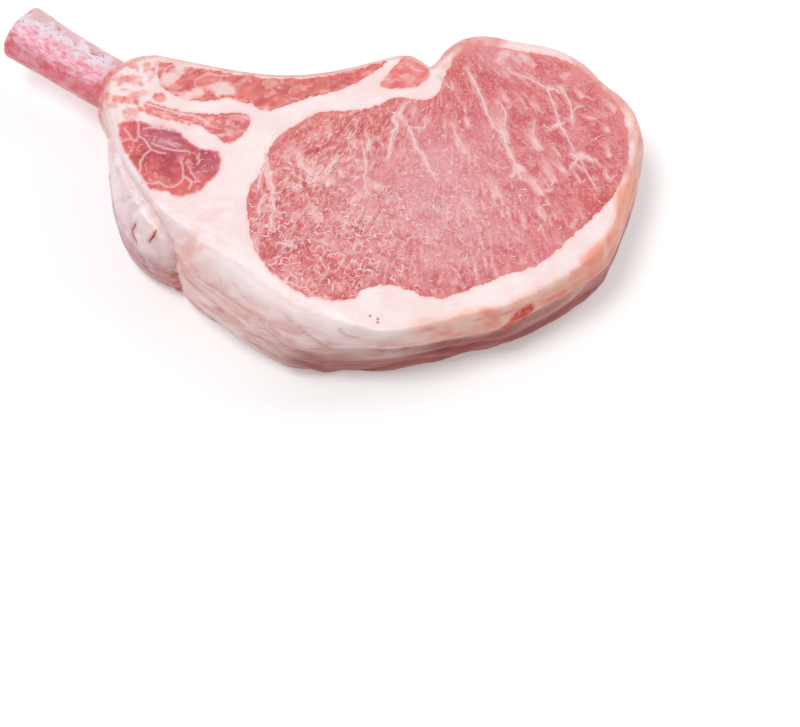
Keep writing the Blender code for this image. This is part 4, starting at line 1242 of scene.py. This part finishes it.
# painted shade low on the side and near the foot
base = mix(tree, sums(tree, "MULTIPLY", seen(tree, "under"), 0.9), base, colour("A5443F"))
flesh = mix(tree, between(tree, mottle(tree, place, 1.6, 2), 0.4, 0.65), colour("D53E2E"), colour("EE6E55"))
base = mix(tree, seen(tree, "flesh"), base, flesh)
for spot in ((-21.3, -37.6, THICK), (-19.3, -38.6, THICK), (-19.4, -39.6, THICK), (-30.5, -43.3, 19.0)):
    far = node(tree, "ShaderNodeVectorMath", {0: place, 1: np.array(spot) + MIDDLE / MM}, operation="DISTANCE")
    base = mix(tree, between(tree, far.outputs["Value"], 0.2, 0.5, 0.85, 0.0), base, colour("B8463C"))
height = sums(tree, "ADD", mottle(tree, place, 1.4, 3, 0.6), sums(tree, "MULTIPLY", ring, -0.3))
finish_of(
    back_fat, base, height, 0.08, blots(tree, place, 3, 0.35, 0.65, 2, 0, 0.38, 0.52), 0.12,
)
fat.data.materials.append(back_fat)
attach(fat, "root")
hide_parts("fat_cap")


# ================================================================ the belly flap
# The end of the belly hangs down the left side under its own thin skin: pale lilac above, wrinkled and
# browner below, with two small dark nicks in it. It is a separate fold, held on by the fat behind it.


def keep_biggest(mesh):
    """Drops the loose crumbs that a voxel surface leaves where a solid is thin."""
    bm = bmesh.new()
    bm.from_mesh(mesh)
    unseen = set(bm.verts)
    bodies = []
    while unseen:
        queue = [unseen.pop()]
        body = set(queue)
        while queue:
            for edge in queue.pop().link_edges:
                for vert in unseen.intersection(edge.verts):
                    unseen.remove(vert)
                    body.add(vert)
                    queue.append(vert)
        bodies.append(body)
    biggest = max(bodies, key=len)
    bmesh.ops.delete(bm, geom=[v for v in bm.verts if v not in biggest], context="VERTS")
    bm.to_mesh(mesh)
    bm.free()


def resurfaced(name, node_name, voxel, smoothing):
    """A CAD node remade as one fine, soft surface, with its points in millimetres and its normals."""
    bm = bmesh.new()
    bm.from_mesh(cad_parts[node_name].data)
    bmesh.ops.remove_doubles(bm, verts=bm.verts, dist=1e-6)
    mesh = bpy.data.meshes.new(name)
    bm.to_mesh(mesh)
    bm.free()
    piece = bpy.data.objects.new(name, mesh)
    bpy.context.scene.collection.objects.link(piece)
    fine = piece.modifiers.new("fine", "REMESH")
    fine.mode = "VOXEL"
    fine.voxel_size = voxel * MM
    fine.use_smooth_shade = True
    soft = piece.modifiers.new("soft", "SMOOTH")
    soft.factor = 0.5
    soft.iterations = smoothing
    shape = piece.evaluated_get(bpy.context.evaluated_depsgraph_get())
    plain = bpy.data.meshes.new_from_object(shape)
    piece.modifiers.clear()
    piece.data = plain
    keep_biggest(plain)
    points = (np.array([v.co for v in plain.vertices]) - MIDDLE) / MM
    return piece, points, np.array([v.normal for v in plain.vertices])


def reshape(piece, points):
    """Moves a piece's points to new places, given in millimetres."""
    piece.data.vertices.foreach_set("co", (points * MM + MIDDLE).astype(np.float32).ravel())
    piece.data.update()


NICKS = [
    [(-82.5, -4.5, 22.7), (-83.8, -5.2, 20.6), (-84.0, -6.4, 19.2), (-83.0, -8.0, 18.0)],
    [(-77.1, -7.5, 23.8), (-77.7, -8.5, 23.0), (-78.9, -9.4, 21.7)],
]
flap, points, normals = resurfaced("belly_flap_skin", "belly_flap", 0.5, 5)
wrinkle = rough(points, (6, 6, 3.2), 101, 3)
lift = 0.3 + 0.3 * wrinkle - 0.45 * np.clip(1 - np.abs(noise(points, (8, 8, 9), 102)) / 0.14, 0, 1)
nick, stain = np.zeros(len(points)), np.zeros(len(points))
for slit in NICKS:
    slit = np.array(slit)
    run = np.linspace(0, len(slit) - 1, 25)
    fine = np.column_stack([np.interp(run, np.arange(len(slit)), slit[:, k]) for k in range(3)])
    away = np.linalg.norm(points[:, None] - fine, axis=2) / (0.16 + 0.2 * np.sin(pi * np.linspace(0.1, 0.9, 25)))
    nick = np.maximum(nick, 1 - ramp(away.min(axis=1), 0.5, 1.3))
    stain = np.maximum(stain, 1 - ramp(away.min(axis=1), 0.6, 6))
places = points + normals * (lift - 0.45 * nick)[:, None]
fat_surface = surface_of(fat_points, fat)
for k, place in enumerate(places):
    hit, facing, face, away = fat_surface.find_nearest(Vector(place))
    outward = (Vector(place) - hit).dot(facing) > 0
    if outward and away < 1.8:
        places[k] += (np.array(hit) - place) / max(away, 1e-6) * (away + 0.6) * (1 - away / 1.8)
places[:, 2] = np.maximum(places[:, 2], 0.1)
reshape(flap, places)
note(flap, "nick", nick)
note(flap, "stain", stain)
note(flap, "low", ramp(21 - points[:, 2] + 2 * noise(points, 5, 103), 0, 9))
note(flap, "end", np.exp(-(np.linalg.norm((points - (-73, -15.5, 9)) / (5.5, 5, 9), axis=1)) ** 2))
note(flap, "cream", np.exp(-(np.linalg.norm((points - (-76.5, -5, 24)) / (2.6, 4.5, 5), axis=1)) ** 2))

# flap skin: a thin pale membrane over fat, moist
skin = new_material("belly flap skin")
tree = skin.node_tree
place = place_of(tree)
base = mix(tree, blots(tree, place, 5, 0.36, 0.66), colour("FDE9EC"), colour("F3CFD5"))
base = mix(tree, sums(tree, "MULTIPLY", seen(tree, "low"), 0.85), base, colour("BE727A"))
base = mix(tree, sums(tree, "MULTIPLY", seen(tree, "end"), 0.95), base, colour("CA7468"))
base = mix(tree, sums(tree, "MULTIPLY", blots(tree, place, 2.4, 0.52, 0.66), 0.35), base, colour("F7E2E2"))
base = mix(tree, sums(tree, "MULTIPLY", seen(tree, "cream"), 0.8), base, colour("F8DDD6"))
base = mix(tree, sums(tree, "MULTIPLY", seen(tree, "stain"), 0.45), base, colour("D07C78"))
base = mix(tree, seen(tree, "nick"), base, colour("A8433D"))
finish_of(skin, base, mottle(tree, place, 1.0, 3, 0.6), 0.12, 0.36, 0.3, 0.1)
flap.data.materials.append(skin)
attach(flap, "root")
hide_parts("belly_flap")

# ================================================================ the rib bone
# The end of the rib is scraped bare: flat bone under a thin film that is mottled pink, white and
# purple, with a groove along its lower side and a sawn, slightly redder end.
BONE_FROM, BONE_TO = np.array([-78.6, 35.4]), np.array([-118.0, 63.4])
bone_way = (BONE_TO - BONE_FROM) / np.linalg.norm(BONE_TO - BONE_FROM)
bone_side = np.array([-bone_way[1], bone_way[0]])
bone, points, normals = resurfaced("rib_bone_scraped", "rib_bone", 0.42, 4)
lengthways = (points[:, :2] - BONE_FROM) @ bone_way
across = (points[:, :2] - BONE_FROM) @ bone_side
laid_out = np.column_stack([lengthways, across, points[:, 2]])
lift = 0.12 * rough(laid_out, (7, 2.2, 2.2), 111, 3) + 0.05 * noise(laid_out, (3, 0.8, 0.8), 112)
reshape(bone, points + normals * lift[:, None])
bone.data.attributes.new("laid", "FLOAT_VECTOR", "POINT").data.foreach_set(
    "vector", laid_out.astype(np.float32).ravel()
)
note(bone, "across", across)
note(bone, "tip", ramp(lengthways, 43.5, 46.5))
note(bone, "sawn", ramp(normals[:, :2] @ bone_way, 0.75, 0.95) * ramp(lengthways, 40, 45))
# painted shade: the bone is darker and redder where it leaves the meat, as if shaded by the meat's edge
note(bone, "root_shade", 1 - ramp(lengthways, 9, 17))
note(bone, "ridge", np.exp(-((across - 1.2) / 1.5) ** 2) * ramp(points[:, 2], 19, 21))

# scraped bone: a moist film over bone
film = new_material("scraped rib bone")
tree = film.node_tree
along = node(tree, "ShaderNodeAttribute", attribute_name="laid").outputs["Vector"]
long = stretched(tree, along, (0.6, 1, 1))
across = sums(tree, "ADD", seen(tree, "across"), between(tree, mottle(tree, along, 3.0, 3), 0.3, 0.7, -2.2, 2.2))
base = mix(tree, blots(tree, long, 1.5, 0.42, 0.62), colour("F8BCCB"), colour("EC8299"))
base = mix(tree, sums(tree, "MULTIPLY", threads(tree, long, 1.6, 0.05, 0.8), 0.5), base, colour("F9D2DE"))
base = mix(tree, between(tree, across, 3.2, 7.0, 0.0, 0.9), base, mix(
    tree, blots(tree, long, 2.0, 0.4, 0.66), colour("E8606C"), colour("F29AA6"),
))
base = mix(tree, between(tree, across, -1.4, 2.0, 0.85, 0.0), base, colour("EADFE9"))
base = mix(tree, between(tree, across, -5.2, -2.4, 0.9, 0.0), base, colour("E3B4B6"))
stained = sums(tree, "MULTIPLY", blots(tree, long, 1.3, 0.56, 0.66, 3), between(tree, across, -0.5, 1.5, 1.0, 0.0))
base = mix(tree, sums(tree, "MULTIPLY", stained, 0.7), base, colour("A56E80"))
# painted shade near the meat's edge
base = mix(tree, sums(tree, "MULTIPLY", seen(tree, "root_shade"), 0.55), base, colour("D0706E"))
base = mix(tree, sums(tree, "MULTIPLY", seen(tree, "tip"), 0.6), base, colour("F0808A"))
pores = mix(tree, blots(tree, along, 0.8, 0.45, 0.62), colour("F3C3BD"), colour("D5706D"))
base = mix(tree, seen(tree, "sawn"), base, pores)
finish_of(film, base, mottle(tree, long, 0.9, 3, 0.6), 0.14, 0.36, 0.3, 0.1)
bone.data.materials.append(film)
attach(bone, "root")
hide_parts("rib_bone")

# ================================================================ the stage
# A plain white ground under soft, even light from above and behind, which leaves only a soft grey
# shadow close under the lower and right edges.
ground = bpy.data.meshes.new("ground")
reach_out = 3.0
ground.from_pydata([
    (-reach_out, -reach_out, 0), (reach_out, -reach_out, 0), (reach_out, reach_out, 0), (-reach_out, reach_out, 0),
], [], [(0, 1, 2, 3)])
ground = bpy.data.objects.new("ground", ground)
bpy.context.scene.collection.objects.link(ground)
white_ground = new_material("white ground")
tree = white_ground.node_tree
plain = node(tree, "ShaderNodeBsdfDiffuse", {"Color": (0.8, 0.8, 0.8, 1)})
lit = node(tree, "ShaderNodeEmission", {"Strength": 0.3})
both = node(tree, "ShaderNodeAddShader", {0: plain.outputs[0], 1: lit.outputs[0]})
tree.links.new(both.outputs[0], node(tree, "ShaderNodeOutputMaterial").inputs[0])
ground.data.materials.append(white_ground)

world = bpy.data.worlds.new("sky")
world.use_nodes = True
sky = world.node_tree.nodes["Background"]
sky.inputs["Color"].default_value = (1.0, 0.99, 0.985, 1)
towards = node(world.node_tree, "ShaderNodeTexCoord").outputs["Generated"]
behind = node(world.node_tree, "ShaderNodeSeparateXYZ", {0: towards}).outputs["Y"]
world.node_tree.links.new(between(world.node_tree, behind, -0.7, 0.5, 0.2, 0.6), sky.inputs["Strength"])
bpy.context.scene.world = world
middle = Vector(MIDDLE) + Vector((-30, 5, 10)) * MM
for name, place, size, power in (
    ("key light", (-0.42, 0.0, 1.6), 0.6, 13.0), ("right light", (1.1, 0.5, 1.0), 0.6, 5.0),
):
    lamp = bpy.data.lights.new(name, "AREA")
    lamp.shape = "DISK"
    lamp.size = size
    lamp.energy = power
    light = bpy.data.objects.new(name, lamp)
    light.location = middle + Vector(place)
    light.rotation_euler = (middle - light.location).to_track_quat("-Z", "Y").to_euler()
    bpy.context.scene.collection.objects.link(light)

eye_at = Vector(MIDDLE) + Vector((-31.0, -289.6, 620.8)) * MM
looking_at = Vector(MIDDLE) + Vector((-13.6, -40.85, 0.0)) * MM
lens = bpy.data.cameras.new("camera")
lens.lens = 110
lens.sensor_width = 36
camera = bpy.data.objects.new("camera", lens)
camera.location = eye_at
camera.rotation_euler = (looking_at - eye_at).to_track_quat("-Z", "Y").to_euler()
bpy.context.scene.collection.objects.link(camera)
bpy.context.scene.camera = camera
bpy.context.scene.view_settings.view_transform = "Standard"
